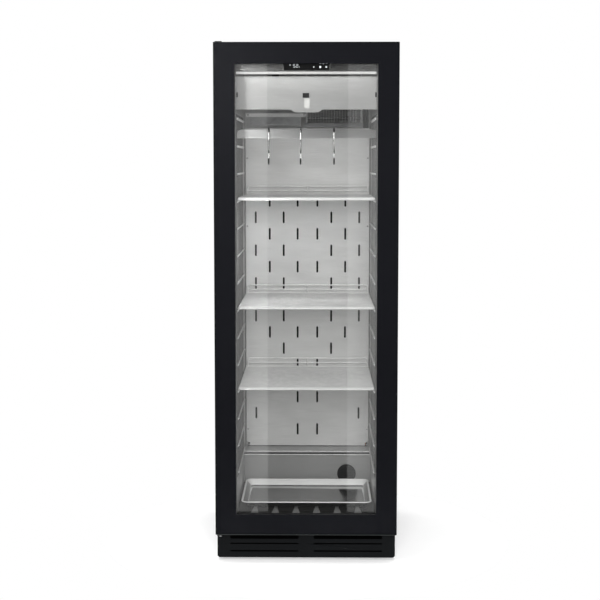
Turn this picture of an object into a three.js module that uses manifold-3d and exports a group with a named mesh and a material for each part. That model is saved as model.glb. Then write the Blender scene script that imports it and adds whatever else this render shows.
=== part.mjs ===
// Dry aging cabinet, 595 mm wide, with one glass door.
// Millimetres, +Z up, front towards -Y. The origin lies on the floor, under the middle of the cabinet.
// Inside this file a depth is counted from the front face of the door, and a height from the floor.
import * as THREE from 'three';
import Module from 'manifold-3d';
import { mergeVertices } from 'three/addons/utils/BufferGeometryUtils.js';

const wasm = await Module();
wasm.setup();

// Clearances
const fit = 0.3;               // gap between two pieces that touch
const slack = 2;               // loose gap round a piece that is pushed in
const overrun = 5;             // how far a cutter runs past the piece that it cuts
const lap = 0.5;               // how far two joined shapes reach into each other
const strutLap = 2;            // how far a fan's struts and blades reach into what holds them

// Overall sizes
const depth = 685;             // door front to back panel
const doorWidth = 595;
const doorHeight = 1602;
const doorBottom = 98;         // height of the door's lower edge
const doorThickness = 42;
const sealGap = 6;             // door back to cabinet front
const caseInset = 2.5;         // the case stands back from the door's edge on each side
const caseTopInset = 3;
const caseSheet = 2;
const standHeight = 12;        // base pan above the floor

// Insulated walls and inner space
const sideWall = 65.5;         // inner space to case outside
const topWall = 45;
const rearWall = 75;
const floorWall = 51;          // inner floor above the floor plate
const linerSheet = 1.5;
const frameSheet = 2;          // front frame
const stepRise = 120;          // step over the machine space
const stepDepth = 110;
const stepTopWall = 35;
const stepFrontWall = 42;
const stepLipHeight = 13;      // folded edge along the top of the step
const stepLipProud = 4;

// Pressed ribs in the inner floor
const floorRibCount = 6;
const floorRibSide = 57;       // outermost rib's middle to the side wall
const floorRibRise = 3;
const floorRibFrontWidth = 27;
const floorRibBackWidth = 9;
const floorRibStart = 68;
const floorRibTaper = 88;      // from the wide front end to the narrow run under the tray

// Door
const paneThickness = 4;
const clearBorder = 68;        // black border round the clear glass
const borderThickness = 0.6;
const borderInset = 3;
const glassGap = 16;           // between the two panes
const spacerWidth = 10;
const spacerInset = 3;         // spacer behind the border
const innerPaneLap = 15;       // inner pane beyond the clear glass
const rearLipLap = 4;          // frame lip starts this far behind the border's edge
const frameSideInset = 1;
const sealInset = 26;          // seal's outer edge from the door's edge
const sealWidth = 20;
const gripLength = 560;
const gripWidth = 18;
const gripDepth = 12;
const gripSheet = 1.5;
const gripMiddle = 900;

// Door hinge
const hingeInset = 14;         // pin axis from the door's side
const hingeBack = 20;          // pin axis from the door's back
const pinRadius = 4;
const pinRise = 22;            // pin inside the door
const pinHeadRadius = 6.5;
const pinHeadHeight = 3;
const bushRadius = 7;
const hingePlateWidth = 26;
const hingePlateNose = 14;     // plate in front of the pin axis
const hingePlateLength = 87;
const hingePlateThickness = 4.4;
const topPlateThickness = 2.7;

// Base
const plinthLift = 9;
const plinthSheet = 2;
const plinthCorner = 5;
const plinthGap = 6;           // gap under the front frame, where the hinge plate comes out
const plinthSideInset = 1;
const plinthSlotHeightShares = [0.061, 0.055, 0.146];
const plinthSlotBottomShares = [0.238, 0.549, 0.768];
const plinthSlotInset = 42;
const plinthMiddleBar = 51;
const floorPlateSheet = 2;
const floorPlateDrop = 1;      // its underside below the door's lower edge
const basePanSheet = 2;
const basePanFlange = 30;
const basePanFront = 62;
const footRadius = 20;
const footNeckRadius = 12;
const footPadHeight = 5;
const footPadBevel = 1.5;
const footStemRadius = 5;
const footStemRise = 24;
const footInsetX = 42;
const footInsetFront = 110;
const footInsetRear = 45;

// Back
const rearSheet = 2;
const rearSlotCount = 8;
const rearSlotHeight = 6;
const rearSlotPitch = 18;
const rearSlotSideInset = 60;
const rearSlotMiddleBar = 30;
const rearSlotBase = 32;
const inletWidth = 29;
const inletHeight = 22;
const inletDepth = 22;
const inletInsetX = 45;
const inletWall = 3;
const inletDrop = 33;          // inlet's middle below the machine space's ceiling

// Air duct panel
const ductSide = 4.5;          // panel's edge to the side wall
const ductSheet = 1.5;
const ductPlenum = 23.5;       // clear space behind the panel
const ductLift = 13;           // above the step
const ductTopGap = 211;        // below the inner ceiling
const ductCorner = 12;
const ductFootLap = 8;         // closing strip behind the panel, above its lower edge
const slotRows = 15;
const slotBase = 29.5;         // lowest slot above the panel's lower edge
const slotTopGap = 241.5;      // uppermost slot below the panel's top edge
const slotHeight = 43.5;
const slotWidth = 7;
const slotColumnFirst = 36;    // from the middle line
const slotSide = 36;           // outermost slots to the panel's edge
const slotColumnCount = 4;     // columns on each side of the middle line
const slotCrowdedRows = 9;     // rows that have two slots on each side
const slotEndSteps = 4;

// Side ladders and shelves
const rungPitch = 90;
const rungBase = 142.7;        // lowest level above the inner floor
const rungTopGap = 185;        // least space above the highest level
const rungReach = 7;
const rungHeight = 8;
const rungLip = 2.5;
const rungStart = 75;
const rungBackGap = 130;       // ledges end this far in front of the duct panel
const ladderSheet = 1.2;
const ladderEnd = 12;          // sheet beyond the outermost ledges
const shelfLevelsFromTop = [11, 8, 4];
const shelfSide = 2;           // shelf to inner wall
const shelfFront = 92;
const shelfBackGap = 13;       // shelf to duct panel
const shelfRod = 6;
const shelfWire = 4;
const shelfWireCount = 24;
const guardRod = 5;
const guardRise = 30;
const guardMiddleRise = 13;
const guardCorner = 10;
const guardSideInset = 6;

// Hanging rail and hooks
const railThickness = 3;
const railHeight = 29;
const railDepth = 95;
const railSide = 2;            // rail's end to the side wall
const railDrop = 37.7;         // rail top below the highest level
const railCorner = 16;
const bracketWidth = 15;
const bracketDepth = 12;
const bracketEdge = 2;
const hookWire = 5;
const hookSides = 8;
const hookLoopRadius = 6;
const hookTail = 12;
const hookShank = 98;
const hookBowlRadius = 12;
const hookTip = 14;
const hookPlaces = [-123, -19, 90];

// Head of the inner space: controls, light, cover, cold air
const controlHeight = 41;
const controlDepth = 40;
const controlFront = 56;
const controlSheet = 1.5;
const displayWidth = 148;
const displayRim = 4;          // housing below the display
const displayThickness = 5;
const displayProud = 1.5;
const lightHeight = 8.2;
const lightDepth = 22;
const lightInset = 6;
const lightSide = 2;
const coverHeight = 107;
const coverFront = 100;
const coverSheet = 1.5;
const coverDrop = 55;          // cover top below the inner ceiling
const coverReturn = 30;
const coverTabDrop = 9.5;
const coverTabWidth = 78;
const coverTabSlope = 13;
const sensorWidth = 21;
const sensorHeight = 15;
const sensorDepth = 5;
const sensorOffset = -2;
const sensorRise = 38;         // above the cover's lower edge

const coilSideGap = 20;        // coil to the middle of the suction line
const coilDepth = 76;
const coilBackGap = 58;
const coilHeight = 120;
const coilLift = 17;           // above the drip pan's floor
const coilFinCount = 22;
const coilFinSheet = 1.6;
const coilPlateSheet = 2.4;
const coilSpineHeight = 12;
const dripPanLip = 6;          // pan in front of the coil
const dripPanHeight = 14;
const dripPanSheet = 1.5;
const dripPanSide = 5;
const dripPanLift = 2;         // above the duct panel's top edge
const fanShroudWidth = 180;
const fanShroudHeight = 202;
const fanShroudBackGap = 100;
const fanShroudSide = 26.5;    // shroud to the side wall
const fanShroudDepth = 40;
const fanShroudGap = 14;       // between shroud and coil
const fanBore = 62;            // radius of the hole in the shroud
const fanRim = 14;             // shroud above the bore
const fanTipGap = 4;
const fanRotorDepth = 20;
const fanHubRadius = 22;
const fanBladeCount = 7;
const fanBladeSheet = 2.4;
const fanBladeTilt = 32;       // degrees
const fanBladeChordShare = 0.8;
const fanStrutWidth = 8;

// Filter
const filterSide = 86.5;       // its middle to the side wall
const filterFloorGap = 5;      // cap above the inner floor
const filterCapRadius = 33.5;
const filterCapDepth = 9;
const filterBodyRadius = 24;
const filterBodyDepth = 34;
const socketWall = 1.5;
const socketFlange = 5;
const socketFlangeSheet = 1.5;

// Collecting tray
const traySide = 8.5;          // tray to the side wall
const trayBackGap = 40;        // tray to the step
const trayHeight = 24;
const trayFront = 125;
const traySheet = 1.5;
const trayFlare = 20;
const trayCorner = 26;
const trayFloorCorner = 6.5;
const trayRim = 4;
const trayRimHeight = 4;
const cornerSteps = 5;

// Machine space
const compressorRadius = 58;
const compressorHeight = 148;
const compressorSide = 94;     // its middle to the middle of the suction line
const compressorLegRadius = 8;
const compressorLegHeight = 10;
const compressorLegSpread = 40;
const compressorStubRadius = 7;
const compressorStubReach = 10;
const compressorStubRise = 72;
const waterPanWidth = 130;
const waterPanDepth = 100;
const waterPanHeight = 18;
const waterPanSheet = 1.5;
const condenserSide = 162.7;   // its middle to the case's side
const condenserWidth = 130;
const condenserHeight = 120;
const condenserFrontGap = 14;  // to the wall of the machine space
const condenserFinCount = 16;
const condenserFinSheet = 1.6;
const condenserSpineHeight = 10;
const condenserFanGap = 10;    // coil to fan frame
const condenserFanBackGap = 8.7;
const condenserFanDepth = 28;
const condenserFanRim = 9;
const condenserRotorDepth = 12;
const condenserHubRadius = 18;
const condenserBladeCount = 5;

// Tubes
const tubeSides = 8;
const drainRadius = 6;
const drainTail = 20;          // drain tube below the machine space's ceiling
const drainOffset = 6;         // from the middle of the coil
const suctionRadius = 5;
const suctionSide = 17.5;      // tube's middle to the side wall
const dischargeRadius = 4;
const bendRadius = 10;
const tubeSetback = 20;        // tube's middle in front of the coil's rear face
const bendSteps = 4;
const boreGap = 0.6;

// Facet counts of round shapes
const roundSides = 24;
const smallSides = 16;

// Places that follow from the sizes
const doorHalf = doorWidth / 2;
const doorTop = doorBottom + doorHeight;
const bodyFront = doorThickness + sealGap;
const caseHalf = doorHalf - caseInset;
const caseTop = doorTop - caseTopInset;
const caseInner = caseHalf - caseSheet - fit;
const linerHalf = caseHalf - sideWall;
const floorUnder = doorBottom - floorPlateDrop;
const floorPlateTop = floorUnder + floorPlateSheet;
const linerFloor = floorPlateTop + floorWall;
const linerCeiling = caseTop - topWall;
const linerBack = depth - rearWall;
const stepTop = linerFloor + stepRise;
const stepFront = linerBack - stepDepth;
const shellFront = bodyFront + frameSheet + fit;
const shellBack = depth - rearSheet - fit;
const machineTop = stepTop - stepTopWall;
const machineFront = stepFront + stepFrontWall;
const clearHalf = doorHalf - clearBorder;
const clearBottom = doorBottom + clearBorder;
const clearTop = doorTop - clearBorder;
const pivotX = -doorHalf + hingeInset;
const pivotDepth = doorThickness - hingeBack;
const plinthTop = floorUnder - plinthGap;
const plinthHeight = plinthTop - plinthLift;
const ductFace = linerBack - ductPlenum - ductSheet;
const ductBottom = stepTop + ductLift;
const ductTop = linerCeiling - ductTopGap;
const ductHalf = linerHalf - ductSide;
const slotPitch = (ductTop - slotTopGap - slotHeight - ductBottom - slotBase) / (slotRows - 1);
const slotColumnPitch = (ductHalf - slotSide - slotColumnFirst) / (slotColumnCount - 1);
const ladderSpace = linerCeiling - rungTopGap - linerFloor - rungBase;
const levelCount = Math.floor(ladderSpace / rungPitch) + 1;
const rungEnd = ductFace - rungBackGap;
const shelfBack = ductFace - shelfBackGap;
const shelfDepth = shelfBack - shelfFront;
const floorRibPitch = ((linerHalf - floorRibSide) * 2) / (floorRibCount - 1);
const wallFace = linerHalf - fit;
const ceilingFace = linerCeiling - fit;
const controlBottom = ceilingFace - controlHeight;
const displayHeight = controlHeight - displayRim;
const coverTop = linerCeiling - coverDrop;
const coverBottom = coverTop - coverHeight;
const dripPanFloor = ductTop + dripPanLift;
const coilBottom = dripPanFloor + coilLift;
const suctionX = linerHalf - suctionSide;
const fanShroudFront = linerBack - fanShroudBackGap - fanShroudDepth;
const shroudRight = -linerHalf + fanShroudSide + fanShroudWidth;
const shroudX = shroudRight - fanShroudWidth / 2;
const shroudZ = ceilingFace - fanRim - fanBore;
const coilFront = linerBack - coilBackGap - coilDepth;
const coilLeft = shroudRight + fanShroudGap + dripPanSide;
const coilRight = suctionX - coilSideGap;
const coilHalf = (coilRight - coilLeft) / 2;
const coilX = coilLeft + coilHalf;
const dripPanFront = coilFront - dripPanLip;
const drainX = coilX + drainOffset;
const plenumDepth = linerBack - ductPlenum / 2;
const railTop = levelHeight(levelCount - 1) - railDrop;
const socketRadius = filterBodyRadius + slack / 2 + socketWall;
const filterX = linerHalf - filterSide;
const filterZ = linerFloor + filterFloorGap + filterCapRadius;
const trayHalf = linerHalf - traySide;
const trayBack = stepFront - trayBackGap;
const panTop = standHeight + basePanSheet;
const compressorX = suctionX - compressorSide;
const compressorDepth = (machineFront + shellBack) / 2;
const condenserX = -caseInner + condenserSide;
const condenserFront = machineFront + condenserFrontGap;
const condenserFanFront = shellBack - condenserFanBackGap - condenserFanDepth;
const condenserDepth = condenserFanFront - condenserFanGap - condenserFront;
const condenserFanZ = panTop + fit + condenserWidth / 2;
const condenserFanBore = condenserWidth / 2 - condenserFanRim;

// Finishes
function finish(color, roughness, metalness) {
  return () => new THREE.MeshStandardMaterial({ color, roughness, metalness });
}
const blackPaint = finish(0x17181a, 0.45, 0.1);
const blackPlastic = finish(0x141414, 0.6, 0);
const blackPrint = finish(0x1d2023, 0.2, 0);
const stainless = finish(0xb4b5b4, 0.32, 0.9);
const steelWire = finish(0xc9cac9, 0.22, 1);
const zincSheet = finish(0x9a9c9c, 0.5, 0.8);
const foam = finish(0xe6dcae, 0.95, 0);
const glass = finish(0xcfd6d8, 0.05, 0);
const rubber = finish(0x101010, 0.85, 0);
const copper = finish(0xb87348, 0.35, 0.9);
const whitePlastic = finish(0xe4e4e0, 0.5, 0);
const aluminium = finish(0xb9bcbe, 0.4, 0.9);

// Helpers: plates, boxes, round pieces
function box([x0, x1], [y0, y1], [z0, z1]) {
  const shape = new THREE.BoxGeometry(x1 - x0, y1 - y0, z1 - z0);
  return shape.translate((x0 + x1) / 2, (y0 + y1) / 2, (z0 + z1) / 2);
}

function outline(points) {
  return new THREE.Shape(points.map(([u, v]) => new THREE.Vector2(u, v)));
}

function rectangle([u0, u1], [v0, v1]) {
  return outline([[u0, v0], [u1, v0], [u1, v1], [u0, v1]]);
}

function extruded(shape, length) {
  return new THREE.ExtrudeGeometry(shape, { depth: length, bevelEnabled: false, curveSegments: cornerSteps });
}

// A plate whose outline lies in X and height, from one depth to another
function upright(shape, [y0, y1]) {
  return extruded(shape, y1 - y0).rotateX(Math.PI / 2).translate(0, y1, 0);
}

// A plate whose outline lies in depth and height, from one X to another
function sideways(shape, [x0, x1]) {
  const turn = new THREE.Matrix4().makeBasis(
    new THREE.Vector3(0, 1, 0), new THREE.Vector3(0, 0, 1), new THREE.Vector3(1, 0, 0));
  return extruded(shape, x1 - x0).applyMatrix4(turn).translate(x0, 0, 0);
}

// A plate whose outline lies in X and depth, from one height to another
function flat(shape, [z0, z1]) {
  return extruded(shape, z1 - z0).translate(0, 0, z0);
}

// A cylinder along X, Y or Z between two places on that axis
function rod(axis, radius, [from, to], [u, v], sides = roundSides) {
  const shape = new THREE.CylinderGeometry(radius, radius, to - from, sides);
  const middle = (from + to) / 2;
  if (axis === 'x') return shape.rotateZ(-Math.PI / 2).translate(middle, u, v);
  if (axis === 'y') return shape.translate(u, middle, v);
  return shape.rotateX(Math.PI / 2).translate(u, v, middle);
}

function frame(outer, inner) {
  const shape = rectangle(...outer);
  shape.holes.push(rectangle(...inner));
  return shape;
}

// A rectangle with chosen corner radii, in the order lower left, lower right, upper right, upper left
function roundedRectangle([u0, u1], [v0, v1], [a, b, c, d]) {
  const shape = new THREE.Shape();
  shape.moveTo(u0 + a, v0);
  shape.lineTo(u1 - b, v0);
  if (b > 0) shape.absarc(u1 - b, v0 + b, b, -Math.PI / 2, 0, false);
  shape.lineTo(u1, v1 - c);
  if (c > 0) shape.absarc(u1 - c, v1 - c, c, 0, Math.PI / 2, false);
  shape.lineTo(u0 + d, v1);
  if (d > 0) shape.absarc(u0 + d, v1 - d, d, Math.PI / 2, Math.PI, false);
  shape.lineTo(u0, v0 + a);
  if (a > 0) shape.absarc(u0 + a, v0 + a, a, Math.PI, Math.PI * 1.5, false);
  return shape;
}

// Helpers: joining and cutting
function merged(geometry) {
  const bare = geometry.clone();
  bare.deleteAttribute('normal');
  bare.deleteAttribute('uv');
  return mergeVertices(bare, 1e-4);
}

function solid(geometry) {
  const shared = merged(geometry);
  return new wasm.Manifold(new wasm.Mesh({
    numProp: 3,
    vertProperties: new Float32Array(shared.attributes.position.array),
    triVerts: new Uint32Array(shared.index.array),
  }));
}

function geometryOf(body) {
  const mesh = body.getMesh();
  const geometry = new THREE.BufferGeometry();
  geometry.setAttribute('position', new THREE.BufferAttribute(new Float32Array(mesh.vertProperties), 3));
  geometry.setIndex(new THREE.BufferAttribute(new Uint32Array(mesh.triVerts), 1));
  geometry.computeVertexNormals();
  return geometry;
}

function joined(...pieces) {
  return geometryOf(pieces.map(solid).reduce((whole, piece) => whole.add(piece)));
}

function cut(piece, ...cutters) {
  return geometryOf(cutters.map(solid).reduce((whole, cutter) => whole.subtract(cutter), solid(piece)));
}

// A closed solid through rings of points that all have the same number of points
function lofted(rings) {
  const sides = rings[0].length;
  const positions = rings.flat().flatMap((point) => [point.x, point.y, point.z]);
  const index = [];
  for (let ring = 0; ring + 1 < rings.length; ring += 1) {
    for (let side = 0; side < sides; side += 1) {
      const next = (side + 1) % sides;
      const a = ring * sides + side;
      const b = ring * sides + next;
      index.push(a, b, b + sides, a, b + sides, a + sides);
    }
  }
  const top = (rings.length - 1) * sides;
  for (let side = 1; side + 1 < sides; side += 1) {
    index.push(0, side + 1, side);
    index.push(top, top + side, top + side + 1);
  }
  const geometry = new THREE.BufferGeometry();
  geometry.setAttribute('position', new THREE.Float32BufferAttribute(positions, 3));
  geometry.setIndex(index);
  geometry.computeVertexNormals();
  return geometry;
}

// A route of straight runs with rounded bends, which gives its own points one by one
class Route extends THREE.Curve {
  constructor(points) {
    super();
    this.points = points;
  }

  getPoint(t) {
    const place = t * (this.points.length - 1);
    const start = Math.min(Math.floor(place + 1e-6), this.points.length - 2);
    return this.points[start].clone().lerp(this.points[start + 1], place - start);
  }

  getPointAt(u) {
    return this.getPoint(u);
  }

  getTangentAt(u) {
    const index = Math.round(u * (this.points.length - 1));
    const before = this.points[Math.max(index - 1, 0)];
    const after = this.points[Math.min(index + 1, this.points.length - 1)];
    return after.clone().sub(before).normalize();
  }
}

function bentRoute(corners, radius, steps) {
  const points = [corners[0]];
  for (let i = 1; i + 1 < corners.length; i += 1) {
    const towardsLast = corners[i - 1].clone().sub(corners[i]).normalize();
    const towardsNext = corners[i + 1].clone().sub(corners[i]).normalize();
    const start = corners[i].clone().addScaledVector(towardsLast, radius);
    const end = corners[i].clone().addScaledVector(towardsNext, radius);
    const bend = new THREE.QuadraticBezierCurve3(start, corners[i], end);
    points.push(...bend.getPoints(steps));
  }
  points.push(corners[corners.length - 1]);
  return new Route(points);
}

function tube(route, radius, sides) {
  const section = new THREE.Shape(Array.from({ length: sides }, (_, i) => {
    const angle = (i / sides) * Math.PI * 2;
    return new THREE.Vector2(Math.cos(angle) * radius, Math.sin(angle) * radius);
  }));
  return new THREE.ExtrudeGeometry(section, { steps: route.points.length - 1, extrudePath: route });
}

// Helper: one named sub-part
function part(name, geometry, material) {
  const mesh = new THREE.Mesh(geometry, material());
  mesh.name = name;
  return mesh;
}

function group(...members) {
  const set = new THREE.Group();
  set.add(...members.flat());
  return set;
}

// Cabinet body
function outerCase() {
  const inner = caseHalf - caseSheet;
  const shell = outline([
    [-caseHalf, standHeight], [-inner, standHeight], [-inner, caseTop - caseSheet],
    [inner, caseTop - caseSheet], [inner, standHeight], [caseHalf, standHeight],
    [caseHalf, caseTop], [-caseHalf, caseTop]]);
  return upright(shell, [shellFront, shellBack]);
}

// The inner space seen from the side, grown by a wall on all sides but the front
function steppedSpace(wall, front) {
  const half = linerHalf + wall;
  const profile = outline([
    [front, linerFloor - wall], [stepFront + wall, linerFloor - wall], [stepFront + wall, stepTop - wall],
    [linerBack + wall, stepTop - wall], [linerBack + wall, linerCeiling + wall],
    [front, linerCeiling + wall]]);
  return sideways(profile, [-half, half]);
}

function tubeBores() {
  const heights = [machineTop - overrun, stepTop + overrun];
  return [
    rod('z', drainRadius + boreGap, heights, [drainX, plenumDepth], smallSides),
    rod('z', suctionRadius + boreGap, heights, [suctionX, plenumDepth], smallSides),
  ];
}

function socketBore(radius) {
  return rod('y', radius, [stepFront - overrun, machineFront + overrun], [filterX, filterZ], roundSides);
}

function floorRib(x) {
  const wide = floorRibFrontWidth / 2;
  const narrow = floorRibBackWidth / 2;
  const taperEnd = floorRibStart + floorRibTaper;
  const plan = outline([
    [x - wide, floorRibStart], [x + wide, floorRibStart], [x + narrow, taperEnd], [x + narrow, trayBack],
    [x - narrow, trayBack], [x - narrow, taperEnd]]);
  return flat(plan, [linerFloor - lap, linerFloor + floorRibRise]);
}

function stepLip() {
  const back = stepFront + lap;
  const shape = rectangle([stepFront - stepLipProud, back], [stepTop - stepLipHeight, stepTop]);
  return sideways(shape, [-linerHalf - lap, linerHalf + lap]);
}

function floorRibPlaces() {
  const first = -((floorRibCount - 1) / 2) * floorRibPitch;
  return Array.from({ length: floorRibCount }, (_, i) => first + i * floorRibPitch);
}

function innerLiner() {
  const hollow = cut(
    steppedSpace(linerSheet, shellFront),
    steppedSpace(0, shellFront - overrun),
    socketBore(socketRadius + boreGap),
    ...tubeBores());
  return joined(hollow, stepLip(), ...floorRibPlaces().map(floorRib));
}

function insulation() {
  const block = box([-caseInner, caseInner], [shellFront, shellBack],
    [floorPlateTop + fit, caseTop - caseSheet - fit]);
  const machineSpace = box([-caseInner - overrun, caseInner + overrun], [machineFront, depth + overrun],
    [standHeight, machineTop]);
  return cut(block, steppedSpace(linerSheet + fit, shellFront - overrun), machineSpace,
    socketBore(socketRadius + boreGap), ...tubeBores());
}

function frontFrame() {
  const shape = frame(
    [[-caseHalf, caseHalf], [floorUnder, caseTop]],
    [[-linerHalf, linerHalf], [linerFloor, linerCeiling]]);
  return upright(shape, [bodyFront, bodyFront + frameSheet]);
}

function rearPanel() {
  return box([-caseHalf, caseHalf], [depth - rearSheet, depth], [machineTop, caseTop]);
}

function rearGrille() {
  const sheet = box([-caseHalf, caseHalf], [depth - rearSheet, depth], [standHeight, machineTop - fit]);
  const runs = [[-caseHalf + rearSlotSideInset, -rearSlotMiddleBar / 2],
    [rearSlotMiddleBar / 2, caseHalf - rearSlotSideInset]];
  const through = [depth - rearSheet - overrun, depth + overrun];
  const slots = Array.from({ length: rearSlotCount }, (_, row) => {
    const low = standHeight + rearSlotBase + row * rearSlotPitch - rearSlotHeight / 2;
    return runs.map((run) => box(run, through, [low, low + rearSlotHeight]));
  });
  const inlet = powerInletCentre();
  const hole = box([inlet.x - inletWidth / 2 - fit, inlet.x + inletWidth / 2 + fit], through,
    [inlet.z - inletHeight / 2 - fit, inlet.z + inletHeight / 2 + fit]);
  return cut(sheet, hole, ...slots.flat());
}

function powerInletCentre() {
  return { x: -caseHalf + inletInsetX, z: machineTop - inletDrop };
}

function powerInlet() {
  const { x, z } = powerInletCentre();
  const body = box([x - inletWidth / 2, x + inletWidth / 2], [depth - inletDepth, depth],
    [z - inletHeight / 2, z + inletHeight / 2]);
  const socket = box([x - inletWidth / 2 + inletWall, x + inletWidth / 2 - inletWall],
    [depth - inletDepth + inletWall, depth + overrun],
    [z - inletHeight / 2 + inletWall, z + inletHeight / 2 - inletWall]);
  return cut(body, socket);
}

function floorPlate() {
  return box([-caseInner, caseInner], [shellFront, machineFront - fit], [floorUnder, floorPlateTop]);
}

// Base
function footPlaces() {
  const x = caseHalf - footInsetX;
  return {
    foot_front_left: [-x, footInsetFront],
    foot_front_right: [x, footInsetFront],
    foot_rear_left: [-x, depth - footInsetRear],
    foot_rear_right: [x, depth - footInsetRear],
  };
}

function foot([x, y]) {
  const neckTop = standHeight - fit;
  const profile = [
    [0, 0], [footRadius, 0], [footRadius, footPadHeight], [footNeckRadius, footPadHeight + footPadBevel],
    [footNeckRadius, neckTop], [footStemRadius, neckTop], [footStemRadius, neckTop + footStemRise],
    [0, neckTop + footStemRise]];
  const points = profile.map(([r, z]) => new THREE.Vector2(r, z));
  return new THREE.LatheGeometry(points, smallSides).rotateX(Math.PI / 2).translate(x, y, 0);
}

function basePan() {
  const top = standHeight + basePanSheet;
  const inner = caseInner - basePanSheet;
  const shell = outline([
    [-caseInner, standHeight], [caseInner, standHeight], [caseInner, top + basePanFlange],
    [inner, top + basePanFlange], [inner, top], [-inner, top], [-inner, top + basePanFlange],
    [-caseInner, top + basePanFlange]]);
  const holes = Object.values(footPlaces()).map((place) => rod('z', footStemRadius + fit,
    [standHeight - overrun, top + overrun], place, smallSides));
  return cut(upright(shell, [basePanFront, shellBack]), ...holes);
}

function plinthGrille() {
  const half = caseHalf - plinthSideInset;
  const corner = plinthCorner;
  const shape = outline([
    [-half + corner, plinthLift], [half - corner, plinthLift], [half, plinthLift + corner],
    [half, plinthTop], [-half, plinthTop], [-half, plinthLift + corner]]);
  const runs = [
    [-half + plinthSlotInset, -plinthMiddleBar / 2],
    [plinthMiddleBar / 2, half - plinthSlotInset]];
  const through = [bodyFront - overrun, bodyFront + plinthSheet + overrun];
  const slots = plinthSlotBottomShares.flatMap((share, row) => {
    const low = plinthLift + share * plinthHeight;
    return runs.map((run) => box(run, through, [low, low + plinthSlotHeightShares[row] * plinthHeight]));
  });
  return cut(upright(shape, [bodyFront, bodyFront + plinthSheet]), ...slots);
}

// Hinges
function hingePlateSpan() {
  return {
    x: [pivotX - hingePlateWidth / 2 + fit, pivotX + hingePlateWidth / 2],
    y: [pivotDepth - hingePlateNose, pivotDepth - hingePlateNose + hingePlateLength],
  };
}

function hingePlateLower() {
  const { x, y } = hingePlateSpan();
  const top = floorUnder - fit;
  const left = Math.max(x[0], -caseInner);
  const nose = hingePlateNose - lap;
  const plan = roundedRectangle([left, x[1]], y, [0, nose, 0, 0]);
  const plate = flat(plan, [top - hingePlateThickness, top]);
  return cut(plate, rod('z', pinRadius + fit, [top - hingePlateThickness - overrun, top + overrun],
    [pivotX, pivotDepth], smallSides));
}

function hingePinLower() {
  const plateBottom = floorUnder - fit - hingePlateThickness;
  const head = rod('z', pinHeadRadius, [plateBottom - fit - pinHeadHeight, plateBottom - fit],
    [pivotX, pivotDepth], smallSides);
  const shank = rod('z', pinRadius, [plateBottom - fit - lap, doorBottom + pinRise],
    [pivotX, pivotDepth], smallSides);
  return joined(head, shank);
}

function hingeBush(heights) {
  const through = [heights[0] - overrun, heights[1] + overrun];
  return cut(rod('z', bushRadius, heights, [pivotX, pivotDepth], smallSides),
    rod('z', pinRadius + fit, through, [pivotX, pivotDepth], smallSides));
}

function hingePlateUpper() {
  const { x, y } = hingePlateSpan();
  const under = doorTop + fit;
  const top = under + topPlateThickness;
  const profile = outline([
    [y[0], under], [shellFront, under], [shellFront, caseTop + fit], [y[1], caseTop + fit],
    [y[1], top], [y[0], top]]);
  const left = Math.max(x[0], -caseInner);
  return cut(sideways(profile, [left, x[1]]),
    rod('z', pinRadius + fit, [doorTop - overrun, top + overrun], [pivotX, pivotDepth], smallSides));
}

function hingePinUpper() {
  return rod('z', pinRadius, [doorTop - pinRise, doorTop + fit + topPlateThickness],
    [pivotX, pivotDepth], smallSides);
}

// Door
function doorRing(outerHalf, innerHalf, depths) {
  const outerInset = doorHalf - outerHalf;
  const innerInset = doorHalf - innerHalf;
  return upright(frame(
    [[-outerHalf, outerHalf], [doorBottom + outerInset, doorTop - outerInset]],
    [[-innerHalf, innerHalf], [doorBottom + innerInset, doorTop - innerInset]]), depths);
}

const borderFront = paneThickness + fit;
const borderBack = borderFront + borderThickness;
const spacerFront = borderBack + fit;
const innerPaneFront = spacerFront + glassGap + fit;
const innerPaneBack = innerPaneFront + paneThickness;
const innerPaneHalf = clearHalf + innerPaneLap;

function doorFrame() {
  const outer = doorHalf - frameSideInset;
  const shell = doorRing(outer, innerPaneHalf + fit, [spacerFront, doorThickness]);
  const lip = doorRing(innerPaneHalf + fit + lap, clearHalf + rearLipLap,
    [innerPaneBack + fit, doorThickness]);
  const bore = bushRadius + fit;
  const lower = rod('z', bore, [doorBottom - overrun, doorBottom + pinRise + fit], [pivotX, pivotDepth],
    smallSides);
  const upper = rod('z', bore, [doorTop - pinRise - fit, doorTop + overrun], [pivotX, pivotDepth],
    smallSides);
  const { x, y, z } = gripSpan();
  const pocket = box([x[0] - fit, x[1] + overrun], [y[0] - fit, y[1] + fit], [z[0] - fit, z[1] + fit]);
  return cut(joined(shell, lip), lower, upper, pocket);
}

function doorFrontGlass() {
  return box([-doorHalf, doorHalf], [0, paneThickness], [doorBottom, doorTop]);
}

function glassBorder() {
  return doorRing(doorHalf - borderInset, clearHalf, [borderFront, borderBack]);
}

function glassSpacer() {
  const inner = clearHalf + spacerInset;
  return doorRing(inner + spacerWidth, inner, [spacerFront, spacerFront + glassGap]);
}

function doorInnerGlass() {
  const inset = doorHalf - innerPaneHalf;
  return box([-innerPaneHalf, innerPaneHalf], [innerPaneFront, innerPaneBack],
    [doorBottom + inset, doorTop - inset]);
}

function doorGasket() {
  const outer = doorHalf - sealInset;
  return doorRing(outer, outer - sealWidth, [doorThickness + fit, bodyFront - fit]);
}

function gripSpan() {
  const right = doorHalf - frameSideInset;
  const back = doorThickness - gripDepth / 2;
  return {
    x: [right - gripDepth, right],
    y: [back - gripWidth, back],
    z: [gripMiddle - gripLength / 2, gripMiddle + gripLength / 2],
  };
}

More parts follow.
